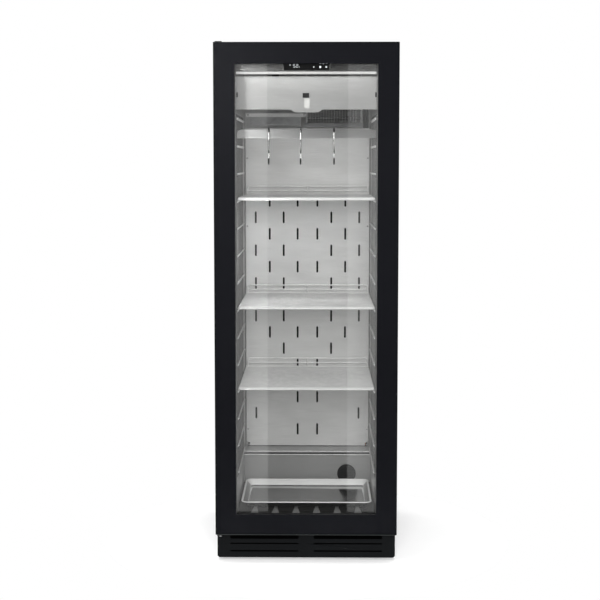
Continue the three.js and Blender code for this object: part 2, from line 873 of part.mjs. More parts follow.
function doorGrip() {
  const { x, y, z } = gripSpan();
  const channel = outline([
    [x[0], y[0]], [x[1], y[0]], [x[1], y[0] + gripSheet], [x[0] + gripSheet, y[0] + gripSheet],
    [x[0] + gripSheet, y[1] - gripSheet], [x[1], y[1] - gripSheet], [x[1], y[1]], [x[0], y[1]]]);
  return flat(channel, z);
}

// Duct panel
// Odd and even rows are staggered, and the lower rows have fewer slots
function slotColumns(row) {
  const odd = row % 2 === 1;
  if (row <= slotCrowdedRows) return odd ? [0, 2] : [1, 3];
  if (row === slotCrowdedRows + 1) return [1];
  return odd ? [0] : [3];
}

function slotShape(x, z) {
  const radius = slotWidth / 2;
  const end = (middle, turn) => Array.from({ length: slotEndSteps + 1 }, (_, i) => {
    const angle = turn + (i / slotEndSteps) * Math.PI;
    return [x + Math.cos(angle) * radius, middle + Math.sin(angle) * radius];
  });
  return outline([...end(z + slotHeight - radius, 0), ...end(z + radius, Math.PI)]);
}

function ductPanel() {
  const corner = ductCorner;
  const shape = roundedRectangle([-ductHalf, ductHalf], [ductBottom, ductTop], [corner, corner, 0, 0]);
  const back = ductFace + ductSheet;
  const slots = Array.from({ length: slotRows }, (_, i) => {
    const z = ductBottom + slotBase + (slotRows - 1 - i) * slotPitch;
    return slotColumns(i + 1).flatMap((column) => {
      const x = slotColumnFirst + column * slotColumnPitch;
      return [x, -x].map((place) => upright(slotShape(place, z), [ductFace - overrun, back + overrun]));
    });
  });
  const flange = (side) => box([side - ductSheet / 2, side + ductSheet / 2], [back - lap, linerBack - fit],
    [ductBottom + corner, ductTop]);
  const edge = ductHalf - ductSheet / 2;
  const foot = box([corner - ductHalf, ductHalf - corner], [back - lap, back + ductSheet],
    [stepTop + fit, ductBottom + ductFootLap]);
  const sheet = cut(upright(shape, [ductFace, back]), ...slots.flat());
  return joined(sheet, flange(-edge), flange(edge), foot);
}

// Ladders and shelves
function levelHeight(level) {
  return linerFloor + rungBase + level * rungPitch;
}

// A thin sheet on the wall with one folded ledge for each level
function sideLadder(side) {
  const wall = side * wallFace;
  const sheet = side * (wallFace - ladderSheet);
  const edge = side * (wallFace - rungReach);
  const levels = Array.from({ length: levelCount }, (_, level) => levelHeight(level));
  const ledges = levels.flatMap((top) => [
    [sheet, top - rungHeight], [edge, top - rungLip], [edge, top], [sheet, top]]);
  const low = levels[0] - rungHeight - ladderEnd;
  const high = levels[levelCount - 1] + ladderEnd;
  const profile = outline([[wall, low], [sheet, low], ...ledges, [sheet, high], [wall, high]]);
  return upright(profile, [rungStart, rungEnd]);
}

function wireShelf(level) {
  const half = linerHalf - shelfSide;
  const low = levelHeight(level) + fit;
  const rodTop = low + shelfRod;
  const back = shelfBack;
  const bays = [-1, 1].map((side) => {
    const x = [side * (half - shelfRod), side * (shelfRod / 2)].sort((a, b) => a - b);
    return box(x, [shelfFront + shelfRod, back - shelfRod], [low - overrun, rodTop + overrun]);
  });
  const rim = cut(box([-half, half], [shelfFront, back], [low, rodTop]), ...bays,
    box([-shelfRod, shelfRod], [shelfFront + shelfRod, back - shelfRod],
      [rodTop - lap - fit, rodTop + overrun]));
  const pitch = (shelfDepth - shelfWire) / (shelfWireCount - 1);
  const wires = Array.from({ length: shelfWireCount }, (_, i) => {
    const y = shelfFront + i * pitch;
    return box([-half + lap, half - lap], [y + lap / 2, y + shelfWire - lap / 2],
      [rodTop - lap, rodTop + shelfWire]);
  });
  return joined(rim, ...wires, shelfGuard(half - guardSideInset, rodTop, back));
}

// All shelves have the lowest one's shape, each raised to its own level
function shelves() {
  const [lowest] = shelfLevelsFromTop;
  const shape = wireShelf(levelCount - lowest);
  return shelfLevelsFromTop.map((level, i) => {
    const shelf = part(`shelf_${i + 1}`, shape, steelWire);
    shelf.position.z = (lowest - level) * rungPitch;
    return shelf;
  });
}

function shelfGuard(half, low, back) {
  const top = low + shelfWire + guardRise;
  const shape = roundedRectangle([-half, half], [low - lap, top], [0, 0, guardCorner, guardCorner]);
  const inner = half - guardRod;
  const bar = low + guardMiddleRise;
  const radius = guardCorner - guardRod;
  const depths = [back - guardRod - lap, back - lap];
  const through = [depths[0] - overrun, depths[1] + overrun];
  const upper = roundedRectangle([-inner, inner], [bar + guardRod, top - guardRod], [0, 0, radius, radius]);
  return cut(upright(shape, depths), box([-inner, inner], through, [low + shelfWire, bar]),
    upright(upper, through));
}

// Hanging rail and hooks
function hangingRail() {
  const half = linerHalf - railSide;
  const shape = roundedRectangle([-half, half], [railTop - railHeight, railTop],
    [0, 0, railCorner, railCorner]);
  return upright(shape, [railDepth, railDepth + railThickness]);
}

// A block on the ladder's sheet, behind the rail's end
function railBracket(side) {
  const seat = wallFace - ladderSheet - fit;
  const x = [side * seat, side * (seat - bracketWidth)].sort((a, b) => a - b);
  const front = railDepth + railThickness + fit;
  return box(x, [front, front + bracketDepth], [railTop - railHeight + bracketEdge, railTop - bracketEdge]);
}

// The hook hangs over the rail's top edge, with its bowl and point towards the door
function hookRoute(x) {
  const middle = railDepth + railThickness / 2;
  const innerRadius = hookLoopRadius - hookWire / 2;
  const rise = Math.sqrt(innerRadius ** 2 - (railThickness / 2) ** 2);
  const centre = railTop + fit - rise + innerRadius * (1 - Math.cos(Math.PI / hookSides));
  const points = [];
  const place = (y, z) => points.push(new THREE.Vector3(x, y, z));
  place(middle + hookLoopRadius, centre - hookTail);
  const loopSteps = hookSides;
  for (let i = 0; i <= loopSteps; i += 1) {
    const angle = (i / loopSteps) * Math.PI;
    place(middle + Math.cos(angle) * hookLoopRadius, centre + Math.sin(angle) * hookLoopRadius);
  }
  const shankY = middle - hookLoopRadius;
  const bowlY = shankY - hookBowlRadius;
  const bowlZ = centre - hookShank;
  for (let i = 0; i <= loopSteps; i += 1) {
    const angle = (i / loopSteps) * Math.PI;
    place(bowlY + Math.cos(angle) * hookBowlRadius, bowlZ - Math.sin(angle) * hookBowlRadius);
  }
  place(bowlY - hookBowlRadius, bowlZ + hookTip);
  return new Route(points);
}

function hook(x) {
  return tube(hookRoute(x), hookWire / 2, hookSides);
}

// Head of the inner space
function controlHousing() {
  const span = [-wallFace, wallFace];
  const depths = [controlFront, controlFront + controlDepth];
  const shell = box(span, depths, [controlBottom, ceilingFace]);
  const half = displayWidth / 2 + fit;
  const window = box([-half, half], [controlFront - overrun, controlFront + displayThickness],
    [ceilingFace - displayHeight - fit, ceilingFace + overrun]);
  const hollow = box([span[0] + controlSheet, span[1] - controlSheet],
    [controlFront + displayThickness + controlSheet, depths[1] + overrun],
    [controlBottom + controlSheet, ceilingFace - controlSheet]);
  return cut(shell, window, hollow);
}

function displayPanel() {
  const half = displayWidth / 2;
  return box([-half, half], [controlFront - displayProud, controlFront + displayThickness - fit],
    [ceilingFace - displayHeight, ceilingFace]);
}

function lightStrip() {
  const half = wallFace - lightSide;
  const front = controlFront + lightInset;
  const top = controlBottom - fit;
  return box([-half, half], [front, front + lightDepth], [top - lightHeight, top]);
}

function evaporatorCover() {
  const half = wallFace;
  const tab = coverTabWidth / 2;
  const shape = outline([
    [-half, coverBottom], [-tab - coverTabSlope, coverBottom], [-tab, coverBottom - coverTabDrop],
    [tab, coverBottom - coverTabDrop], [tab + coverTabSlope, coverBottom], [half, coverBottom],
    [half, coverTop], [-half, coverTop]]);
  const back = coverFront + coverSheet;
  const fold = box([-half, half], [back - lap, coverFront + coverReturn], [coverTop - coverSheet, coverTop]);
  const side = (edge) => box([edge - coverSheet / 2, edge + coverSheet / 2],
    [back - lap, coverFront + coverReturn], [coverBottom, coverTop - lap]);
  const edge = half - coverSheet / 2;
  return joined(upright(shape, [coverFront, back]), fold, side(-edge), side(edge));
}

function airSensor() {
  const half = sensorWidth / 2;
  const low = coverBottom + sensorRise;
  return box([sensorOffset - half, sensorOffset + half], [coverFront - fit - sensorDepth, coverFront - fit],
    [low, low + sensorHeight]);
}

// Fins hang from a spine, and two end plates carry the spine
function finBlock({ x, half, depths, low, high, count, finSheet, plateSheet, spine, plateTop, plateLow }) {
  const plates = [-1, 1].map((side) => {
    const edges = [x + side * half, x + side * (half - plateSheet)].sort((a, b) => a - b);
    return box(edges, depths, [plateLow, plateTop]);
  });
  const spineBar = box([x - half + lap, x + half - lap], depths, [high - spine, high]);
  const pitch = (half * 2) / (count + 1);
  const fins = Array.from({ length: count }, (_, i) => {
    const place = x - half + (i + 1) * pitch;
    return box([place - finSheet / 2, place + finSheet / 2], [depths[0] + lap, depths[1] - lap],
      [low, high - spine + lap]);
  });
  return joined(spineBar, ...plates, ...fins);
}

function evaporatorCoil() {
  return finBlock({
    x: coilX, half: coilHalf, depths: [coilFront, coilFront + coilDepth],
    low: coilBottom, high: coilBottom + coilHeight, count: coilFinCount,
    finSheet: coilFinSheet, plateSheet: coilPlateSheet, spine: coilSpineHeight,
    plateTop: ceilingFace, plateLow: dripPanFloor + dripPanSheet + fit,
  });
}

function dripPan() {
  const x = [coilX - coilHalf - dripPanSide, coilX + coilHalf + dripPanSide];
  const y = [dripPanFront, linerBack - fit];
  const z = [dripPanFloor, dripPanFloor + dripPanHeight];
  const hollow = box([x[0] + dripPanSheet, x[1] - dripPanSheet], [y[0] + dripPanSheet, y[1] - dripPanSheet],
    [z[0] + dripPanSheet, z[1] + overrun]);
  const outlet = rod('z', drainRadius - dripPanSheet, [z[0] - overrun, z[1]], [drainX, plenumDepth],
    smallSides);
  return cut(box(x, y, z), hollow, outlet);
}

function drainTube() {
  const span = [machineTop - drainTail, dripPanFloor - fit];
  const wall = rod('z', drainRadius, span, [drainX, plenumDepth], smallSides);
  const bore = rod('z', drainRadius - dripPanSheet, [span[0] - overrun, span[1] + overrun],
    [drainX, plenumDepth], smallSides);
  return cut(wall, bore);
}

// Circulation fan in its shroud
function motorAndStruts({ x, z, bore, hub, depths, strutDepth }) {
  const motor = rod('y', hub, depths, [x, z], smallSides);
  const back = depths[1];
  const reach = bore + strutLap;
  const across = box([x - reach, x + reach], [back - strutDepth, back],
    [z - fanStrutWidth / 2, z + fanStrutWidth / 2]);
  const upDown = box([x - fanStrutWidth / 2, x + fanStrutWidth / 2], [back - strutDepth, back],
    [z - reach, z + reach]);
  return [motor, across, upDown];
}

function fanShroud() {
  const half = fanShroudWidth / 2;
  const depths = [fanShroudFront, fanShroudFront + fanShroudDepth];
  const body = box([shroudX - half, shroudX + half], depths, [ceilingFace - fanShroudHeight, ceilingFace]);
  const bore = rod('y', fanBore, [depths[0] - overrun, depths[1] + overrun], [shroudX, shroudZ]);
  const motor = motorAndStruts({
    x: shroudX, z: shroudZ, bore: fanBore, hub: fanHubRadius,
    depths: [depths[0] + fanRotorDepth + slack + fit, depths[1]], strutDepth: fanStrutWidth,
  });
  return joined(cut(body, bore), ...motor);
}

function fanRotor({ x, z, radius, hub, front, length, blades }) {
  const hubSolid = rod('y', hub, [front, front + length], [x, z], smallSides);
  const tilt = THREE.MathUtils.degToRad(fanBladeTilt);
  const inside = hub - strutLap;
  const chord = ((length - fanBladeSheet) / Math.sin(tilt)) * fanBladeChordShare;
  const bladeSolids = Array.from({ length: blades }, (_, i) => {
    const blade = new THREE.BoxGeometry(chord, fanBladeSheet, radius - inside);
    blade.rotateZ(tilt).translate(0, 0, (radius + inside) / 2);
    blade.rotateY((i / blades) * Math.PI * 2);
    return blade.translate(x, front + length / 2, z);
  });
  const disc = rod('y', radius, [front, front + length], [x, z]);
  const whole = [hubSolid, ...bladeSolids].map(solid).reduce((sum, piece) => sum.add(piece));
  return geometryOf(whole.intersect(solid(disc)));
}

function circulationFan() {
  return fanRotor({
    x: shroudX, z: shroudZ, radius: fanBore - fanTipGap, hub: fanHubRadius,
    front: fanShroudFront + slack, length: fanRotorDepth, blades: fanBladeCount,
  });
}

// Filter
function filterSocket() {
  const inner = filterBodyRadius + slack / 2;
  const tubeWall = rod('y', socketRadius, [stepFront - socketFlangeSheet - fit, machineFront - fit],
    [filterX, filterZ]);
  const flange = rod('y', socketRadius + socketFlange, [stepFront - socketFlangeSheet - fit, stepFront - fit],
    [filterX, filterZ]);
  const bore = rod('y', inner, [stepFront - overrun, machineFront + overrun], [filterX, filterZ]);
  return cut(joined(tubeWall, flange), bore);
}

function charcoalFilter() {
  const back = stepFront - socketFlangeSheet - fit * 2;
  const cap = rod('y', filterCapRadius, [back - filterCapDepth, back], [filterX, filterZ]);
  const core = rod('y', filterBodyRadius, [back - lap, back + filterBodyDepth], [filterX, filterZ]);
  return joined(cap, core);
}

// Collecting tray
function trayRing(inset, z) {
  const x = trayHalf - inset;
  const y = [trayFront + inset, trayBack - inset];
  const radius = Math.max(trayCorner - inset, trayFloorCorner);
  const shape = roundedRectangle([-x, x], y, [radius, radius, radius, radius]);
  const points = shape.getPoints(cornerSteps);
  const ring = points.filter((point, i) => i === 0 || point.distanceTo(points[i - 1]) > 1e-3);
  if (ring[0].distanceTo(ring[ring.length - 1]) < 1e-3) ring.pop();
  return ring.map((point) => new THREE.Vector3(point.x, point.y, z));
}

function dripTray() {
  const low = linerFloor + floorRibRise + fit;
  const high = low + trayHeight;
  const rim = trayRim;
  const wall = lofted([trayRing(trayFlare, low), trayRing(rim, high)]);
  const rimSolid = lofted([trayRing(0, high - trayRimHeight), trayRing(0, high)]);
  const slope = (trayFlare - rim) / trayHeight;
  const hollow = lofted([
    trayRing(trayFlare + traySheet - slope * traySheet, low + traySheet),
    trayRing(rim + traySheet - slope * overrun, high + overrun)]);
  return cut(joined(wall, rimSolid), hollow);
}

// Machine space
function compressor() {
  const base = panTop + fit + compressorLegHeight;
  const r = compressorRadius;
  const h = compressorHeight;
  const shares = [
    [0, 0], [0.72, 0], [0.94, 0.08], [1, 0.2], [1, 0.62], [0.92, 0.8], [0.7, 0.94], [0.36, 1], [0, 1]];
  const points = shares.map(([radial, rise]) => new THREE.Vector2(radial * r, rise * h));
  const dome = new THREE.LatheGeometry(points, roundSides).rotateX(Math.PI / 2)
    .translate(compressorX, compressorDepth, base);
  const legs = [-1, 1].flatMap((sx) => [-1, 1].map((sy) => rod('z', compressorLegRadius,
    [panTop + fit, base + compressorLegHeight],
    [compressorX + sx * compressorLegSpread, compressorDepth + sy * compressorLegSpread / 2], tubeSides)));
  const stubs = [1, -1].map((side) => {
    const x = [compressorX, compressorX + side * (r + compressorStubReach)].sort((a, b) => a - b);
    return rod('x', compressorStubRadius, x, [compressorDepth, base + compressorStubRise], smallSides);
  });
  return joined(dome, ...legs, ...stubs);
}

function compressorTop() {
  return panTop + fit + compressorLegHeight + compressorHeight;
}

function stubHeight() {
  return panTop + fit + compressorLegHeight + compressorStubRise;
}

function evaporationPan() {
  const low = compressorTop() + fit;
  const x = [compressorX - waterPanWidth / 2, compressorX + waterPanWidth / 2];
  const y = [compressorDepth - waterPanDepth / 2, compressorDepth + waterPanDepth / 2];
  const hollow = box([x[0] + waterPanSheet, x[1] - waterPanSheet],
    [y[0] + waterPanSheet, y[1] - waterPanSheet], [low + waterPanSheet, low + waterPanHeight + overrun]);
  return cut(box(x, y, [low, low + waterPanHeight]), hollow);
}

function suctionLine() {
  const right = coilX + coilHalf + fit;
  const z = coilBottom + coilHeight / 2;
  const end = compressorX + compressorRadius + compressorStubReach + fit;
  const corners = [
    new THREE.Vector3(right, coilFront + coilDepth - tubeSetback, z),
    new THREE.Vector3(suctionX, coilFront + coilDepth - tubeSetback, z),
    new THREE.Vector3(suctionX, plenumDepth, z),
    new THREE.Vector3(suctionX, plenumDepth, stubHeight()),
    new THREE.Vector3(end, plenumDepth, stubHeight())];
  return tube(bentRoute(corners, bendRadius, bendSteps), suctionRadius, tubeSides);
}

function condenserCoil() {
  const low = panTop + fit;
  return finBlock({
    x: condenserX, half: condenserWidth / 2, depths: [condenserFront, condenserFront + condenserDepth],
    low: low + slack, high: low + condenserHeight, count: condenserFinCount,
    finSheet: condenserFinSheet, plateSheet: coilPlateSheet, spine: condenserSpineHeight,
    plateTop: low + condenserHeight, plateLow: low,
  });
}

function condenserFanFrame() {
  const half = condenserWidth / 2;
  const depths = [condenserFanFront, condenserFanFront + condenserFanDepth];
  const body = box([condenserX - half, condenserX + half], depths,
    [condenserFanZ - half, condenserFanZ + half]);
  const bore = rod('y', condenserFanBore, [depths[0] - overrun, depths[1] + overrun],
    [condenserX, condenserFanZ]);
  const motor = motorAndStruts({
    x: condenserX, z: condenserFanZ, bore: condenserFanBore, hub: condenserHubRadius,
    depths: [depths[0] + slack + condenserRotorDepth + fit, depths[1]], strutDepth: fanStrutWidth,
  });
  return joined(cut(body, bore), ...motor);
}

function condenserFan() {
  return fanRotor({
    x: condenserX, z: condenserFanZ, radius: condenserFanBore - fanTipGap, hub: condenserHubRadius,
    front: condenserFanFront + slack, length: condenserRotorDepth, blades: condenserBladeCount,
  });
}

function dischargeLine() {
  const z = stubHeight();
  const start = compressorX - compressorRadius - compressorStubReach - fit;
  const end = condenserX + condenserWidth / 2 + fit;
  const y = condenserFront + condenserDepth / 2;
  const corners = [
    new THREE.Vector3(start, compressorDepth, z),
    new THREE.Vector3((start + end) / 2, compressorDepth, z),
    new THREE.Vector3((start + end) / 2, y, z),
    new THREE.Vector3(end, y, z)];
  return tube(bentRoute(corners, bendRadius / 2, bendSteps), dischargeRadius, tubeSides);
}

// The whole cabinet
const cabinetBody = group(
  part('outer_case', outerCase(), blackPaint),
  part('insulation_foam', insulation(), foam),
  part('inner_liner', innerLiner(), stainless),
  part('front_frame', frontFrame(), zincSheet),
  part('rear_panel', rearPanel(), zincSheet),
  part('rear_grille', rearGrille(), blackPaint),
  part('floor_plate', floorPlate(), zincSheet),
  part('base_pan', basePan(), zincSheet),
  part('plinth_grille', plinthGrille(), blackPaint),
  part('hinge_plate_lower', hingePlateLower(), blackPaint),
  part('hinge_plate_upper', hingePlateUpper(), blackPaint),
  part('hinge_pin_lower', hingePinLower(), steelWire),
  part('hinge_pin_upper', hingePinUpper(), steelWire),
  part('power_inlet', powerInlet(), blackPlastic),
  Object.entries(footPlaces()).map(([name, place]) => part(name, foot(place), blackPlastic)));

const door = group(
  part('door_front_glass', doorFrontGlass(), glass),
  part('glass_border', glassBorder(), blackPrint),
  part('glass_spacer', glassSpacer(), blackPlastic),
  part('door_inner_glass', doorInnerGlass(), glass),
  part('door_frame', doorFrame(), blackPaint),
  part('door_gasket', doorGasket(), rubber),
  part('door_grip', doorGrip(), blackPaint),
  part('hinge_bush_lower', hingeBush([floorUnder, doorBottom + pinRise]), whitePlastic),
  part('hinge_bush_upper', hingeBush([doorTop - pinRise, doorTop]), whitePlastic));

const racks = group(
  part('duct_panel', ductPanel(), stainless),
  part('side_ladder_left', sideLadder(-1), stainless),
  part('side_ladder_right', sideLadder(1), stainless),
  shelves(),
  part('hanging_rail', hangingRail(), stainless),
  part('rail_bracket_left', railBracket(-1), stainless),
  part('rail_bracket_right', railBracket(1), stainless),
  hookPlaces.map((x, i) => part(`hook_${i + 1}`, hook(x), steelWire)),
  part('drip_tray', dripTray(), stainless));

const head = group(
  part('control_housing', controlHousing(), stainless),
  part('display_panel', displayPanel(), blackPlastic),
  part('light_strip', lightStrip(), whitePlastic),
  part('evaporator_cover', evaporatorCover(), stainless),
  part('air_sensor', airSensor(), blackPlastic),
  part('evaporator_coil', evaporatorCoil(), aluminium),
  part('drip_pan', dripPan(), aluminium),
  part('fan_shroud', fanShroud(), zincSheet),
  part('circulation_fan', circulationFan(), blackPlastic));

const machine = group(
  part('compressor', compressor(), blackPaint),
  part('evaporation_pan', evaporationPan(), blackPlastic),
  part('condenser_coil', condenserCoil(), aluminium),
  part('condenser_fan_frame', condenserFanFrame(), blackPlastic),
  part('condenser_fan', condenserFan(), blackPlastic),
  part('suction_line', suctionLine(), copper),
  part('discharge_line', dischargeLine(), copper),
  part('drain_tube', drainTube(), whitePlastic),
  part('filter_socket', filterSocket(), blackPlastic),
  part('charcoal_filter', charcoalFilter(), blackPlastic));

const cabinet = group(cabinetBody, door, racks, head, machine);
cabinet.position.y = -depth / 2;

export default cabinet;
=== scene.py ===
# The looks of a dry aging cabinet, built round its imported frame.
# Lengths are in metres, +Z is up, and the cabinet's front faces -Y.
# The materials come first, then the CAD nodes that keep their shape, the new pieces, and the light.
import math

import bmesh
import bpy
from mathutils import Matrix, Vector


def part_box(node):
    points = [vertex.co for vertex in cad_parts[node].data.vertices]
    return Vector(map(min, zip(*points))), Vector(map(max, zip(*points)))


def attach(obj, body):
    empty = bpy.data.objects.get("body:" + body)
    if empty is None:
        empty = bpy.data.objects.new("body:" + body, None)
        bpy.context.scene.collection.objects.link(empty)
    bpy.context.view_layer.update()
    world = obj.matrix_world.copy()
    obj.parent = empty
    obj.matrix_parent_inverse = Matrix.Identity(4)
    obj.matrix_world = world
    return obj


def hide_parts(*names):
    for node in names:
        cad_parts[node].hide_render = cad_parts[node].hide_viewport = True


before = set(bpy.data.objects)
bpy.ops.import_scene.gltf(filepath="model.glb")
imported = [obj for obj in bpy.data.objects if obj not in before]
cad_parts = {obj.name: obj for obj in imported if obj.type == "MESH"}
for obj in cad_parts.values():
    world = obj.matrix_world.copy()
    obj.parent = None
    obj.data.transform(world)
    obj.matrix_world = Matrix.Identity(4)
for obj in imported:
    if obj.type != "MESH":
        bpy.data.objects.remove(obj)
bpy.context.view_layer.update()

# Camera, with its angles in degrees and its shift as a share of the picture's width
PHOTO_PIXELS = 600
FOCAL_PIXELS = 1337
SENSOR_WIDTH = 36         # in millimetres
CAMERA_PLACE = (0.0349, -4.6425, 1.3189)
CAMERA_PITCH = 5.0
CAMERA_YAW = 0.73
CAMERA_SHIFT = -0.035

# Places on the frame that many pieces share
DOOR_LOW, DOOR_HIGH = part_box("door_front_glass")
LINER_LOW, LINER_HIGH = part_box("inner_liner")
LINER_SHEET = 0.0015
DUCT_LOW, DUCT_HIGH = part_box("duct_panel")
COVER_LOW, COVER_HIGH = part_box("evaporator_cover")
FRAME_GAP = 0.0003        # what CAD pieces keep between them where they touch
STEP_TOP = DUCT_LOW.z - FRAME_GAP
STEP_LIP = 0.013
SOCKET_SETBACK = 0.0022
STEP_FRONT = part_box("filter_socket")[0].y - SOCKET_SETBACK      # front of the step's lip
BORDER_WIDTH = 0.068      # the black print round the clear middle of the door
CLEAR_HALF = DOOR_HIGH.x - BORDER_WIDTH
CLEAR_BOTTOM = DOOR_LOW.z + BORDER_WIDTH
CLEAR_TOP = DOOR_HIGH.z - BORDER_WIDTH
SEAT = 0.0002             # how far a small piece sinks into the surface that carries it


# Materials: sockets that can be added and multiplied
class Socket:
    """An output of a material's node. Sums on it add Math nodes."""

    def __init__(self, recipe, output):
        self.recipe = recipe
        self.output = output

    def math(self, operation, first, second=0.0):
        return self.recipe.node("ShaderNodeMath", {"operation": operation}, {0: first, 1: second})

    def __add__(self, other):
        return self.math("ADD", self, other)

    def __sub__(self, other):
        return self.math("SUBTRACT", self, other)

    def __mul__(self, other):
        return self.math("MULTIPLY", self, other)

    def __rsub__(self, other):
        return self.math("SUBTRACT", other, self)

    def __pow__(self, other):
        return self.math("POWER", self, other)

    __radd__ = __add__
    __rmul__ = __mul__

    def size(self):
        """The value without its sign."""
        return self.math("ABSOLUTE", self)

    def ramp(self, low, high):
        """0 below low and 1 above high, with a soft change between them."""
        return self.recipe.node("ShaderNodeMapRange", {"interpolation_type": "SMOOTHSTEP"},
                                {"Value": self, "From Min": low, "From Max": high})


class Recipe:
    """A node tree under construction, of a material or of the world."""

    def __init__(self, owner):
        self.owner = owner
        owner.use_nodes = True
        self.tree = owner.node_tree
        self.tree.nodes.clear()

    def node(self, kind, settings=None, sockets=None, output=0):
        """A node with its settings, then the values or links of its sockets. Gives one of its outputs."""
        made = self.tree.nodes.new(kind)
        for name, value in (settings or {}).items():
            setattr(made, name, value)
        for name, value in (sockets or {}).items():
            if isinstance(value, Socket):
                self.tree.links.new(value.output, made.inputs[name])
            else:
                made.inputs[name].default_value = value
        return Socket(self, made.outputs[output]) if made.outputs else made

    def place(self, stretch=(1, 1, 1)):
        """Object coordinates. A pattern grows long along an axis whose factor is small."""
        coordinates = self.node("ShaderNodeTexCoord", output="Object")
        return self.node("ShaderNodeVectorMath", {"operation": "MULTIPLY"}, {0: coordinates, 1: stretch})

    def along(self, axis):
        """One Object coordinate, in metres."""
        coordinates = self.node("ShaderNodeTexCoord", output="Object")
        return self.node("ShaderNodeSeparateXYZ", sockets={"Vector": coordinates}, output=axis)

    def noise(self, scale, stretch=(1, 1, 1), detail=3.0):
        return self.node("ShaderNodeTexNoise", sockets={
            "Vector": self.place(stretch), "Scale": scale, "Detail": detail, "Roughness": 0.55})

    def cells(self, scale, output="Distance"):
        sockets = {"Vector": self.place(), "Scale": scale}
        return self.node("ShaderNodeTexVoronoi", sockets=sockets, output=output)

    def mix(self, factor, first, second):
        """A blend of two colours. A Mix node takes them at sockets 6 and 7 and gives one at output 2."""
        return self.node("ShaderNodeMix", {"data_type": "RGBA"}, {0: factor, 6: first, 7: second}, 2)

    def bump(self, height, distance, strength=1.0):
        return self.node("ShaderNodeBump", sockets={
            "Height": height, "Distance": distance, "Strength": strength})

    def principled(self, colour, roughness, metallic=0.0, **others):
        sockets = {"Base Color": colour, "Roughness": roughness, "Metallic": metallic}
        sockets.update({name.replace("_", " "): value for name, value in others.items()})
        return self.node("ShaderNodeBsdfPrincipled", sockets=sockets)

    def finished(self, shader, kind="ShaderNodeOutputMaterial"):
        self.node(kind, sockets={"Surface": shader})
        return self.owner


def recipe(name):
    return Recipe(bpy.data.materials.new(name))


def grey(level, warmth=0.0):
    """A grey of that linear level. Warmth tilts it towards yellow, and below zero towards blue."""
    return (level * (1 + warmth), level, level * (1 - warmth), 1)


# Materials: metal
LEVEL_GRAIN = (0.02, 1, 1)            # long along X
BROAD_LEVEL_GRAIN = (0.265, 1, 1)


def brushed_steel(name, level, roughness, metallic=0.8):
    """Stainless sheet with a level grain."""
    r = recipe(name)
    streaks = r.noise(900, LEVEL_GRAIN, 2)
    broad = r.noise(26, BROAD_LEVEL_GRAIN, 4)
    cloudy = r.noise(5)
    tone = streaks * 0.45 + broad * 0.35 + cloudy * 0.2
    colour = r.mix(tone.ramp(0.3, 0.7), grey(level * 0.86, 0.004), grey(level * 1.08, 0.002))
    rough = streaks.ramp(0.25, 0.75) * 0.1 + cloudy * 0.08 + (roughness - 0.09)
    normal = r.bump(streaks * 0.7 + broad * 0.3, 0.00003, 0.5)
    return r.finished(r.principled(colour, rough, metallic, Normal=normal))


# Places on the liner, where one look fades into the next
RIB_RISE = (0.001, 0.0026)            # over the floor: from the floor's painted shade to the ribs' painted light
WALL_RISE = (0.004, 0.007)            # over the floor: from the floor to the wall
RIB_LIT_DEPTHS = (-0.194, -0.186)     # places along Y: behind them the ribs are painted into the tray's shadow


def liner_steel():
    """The inner walls' sheet. The floor is painted dark with shade between its ribs, and the ribs are painted
    light; behind the tray's front, a painted shadow of the tray darkens them.
    """
    r = recipe("liner_steel")
    height = r.along("Z") - (LINER_LOW.z + LINER_SHEET)
    streaks = r.noise(900, LEVEL_GRAIN, 2)
    cloudy = r.noise(5)
    wall = r.mix((streaks * 0.6 + cloudy * 0.4).ramp(0.3, 0.7), grey(0.45), grey(0.55))
    lit_before_tray_shadow = 1 - r.along("Y").ramp(*RIB_LIT_DEPTHS)
    # painted shade on the floor, painted light on the ribs, and a painted shadow of the tray behind its front
    below = r.mix(height.ramp(*RIB_RISE) * lit_before_tray_shadow, grey(0.035), grey(0.4))
    colour = r.mix(height.ramp(*WALL_RISE), below, wall)
    normal = r.bump(streaks, 0.00003, 0.5)
    return r.finished(r.principled(colour, streaks * 0.1 + cloudy * 0.08 + 0.3, 0.6, Normal=normal))


LADDER_SHEET_SHARES = (0.55, 0.75)    # of a ladder's width, from its ledges to its sheet
MIDDLE_FADE = (-0.01, 0.01)           # between the two ladders


def ladder_steel():
    """Sheet painted dark as shade, with a painted highlight on the ledges, where light from above falls. The
    right ladder is painted lighter than the left, on the side that the light reaches.
    """
    r = recipe("ladder_steel")
    low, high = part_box("side_ladder_right")
    sheet = r.along("X").size().ramp(*(low.x + (high.x - low.x) * share for share in LADDER_SHEET_SHARES))
    streaks = r.noise(700, (1, 0.02, 1), 2)
    stain = r.noise(9, detail=4).ramp(0.3, 0.7)
    # painted shade on the sheet, darker on the left ladder and lighter on the right, where the light reaches
    # it
    left = r.mix(stain, grey(0.08), grey(0.12))
    right = r.mix(stain, grey(0.15), grey(0.2))
    sheet_shade = r.mix(r.along("X").ramp(*MIDDLE_FADE), left, right)
    # painted highlight on the ledges
    rubbed = r.mix(streaks, grey(0.78), grey(0.92))
    colour = r.mix(sheet, rubbed, sheet_shade)
    normal = r.bump(streaks, 0.00003, 0.5)
    rough = streaks * 0.1 + sheet * 0.22 + 0.24
    return r.finished(r.principled(colour, rough, (1 - sheet) * 0.6, Normal=normal, Specular_IOR_Level=0.15))


# Places on the tray, where one look fades into the next
TRAY_WALL_RISE = (0.0032, 0.0062)     # over its foot: from the floor to the walls
TRAY_RIM_DROP = (0.0042, 0.003)       # under its top: from the walls to the rim
TRAY_SHADE_START = 0.02               # behind its front, where the painted shade starts to fade
TRAY_REAR_WALL = (0.03, 0.02)         # before its back: from the painted shade to the rear wall's painted light
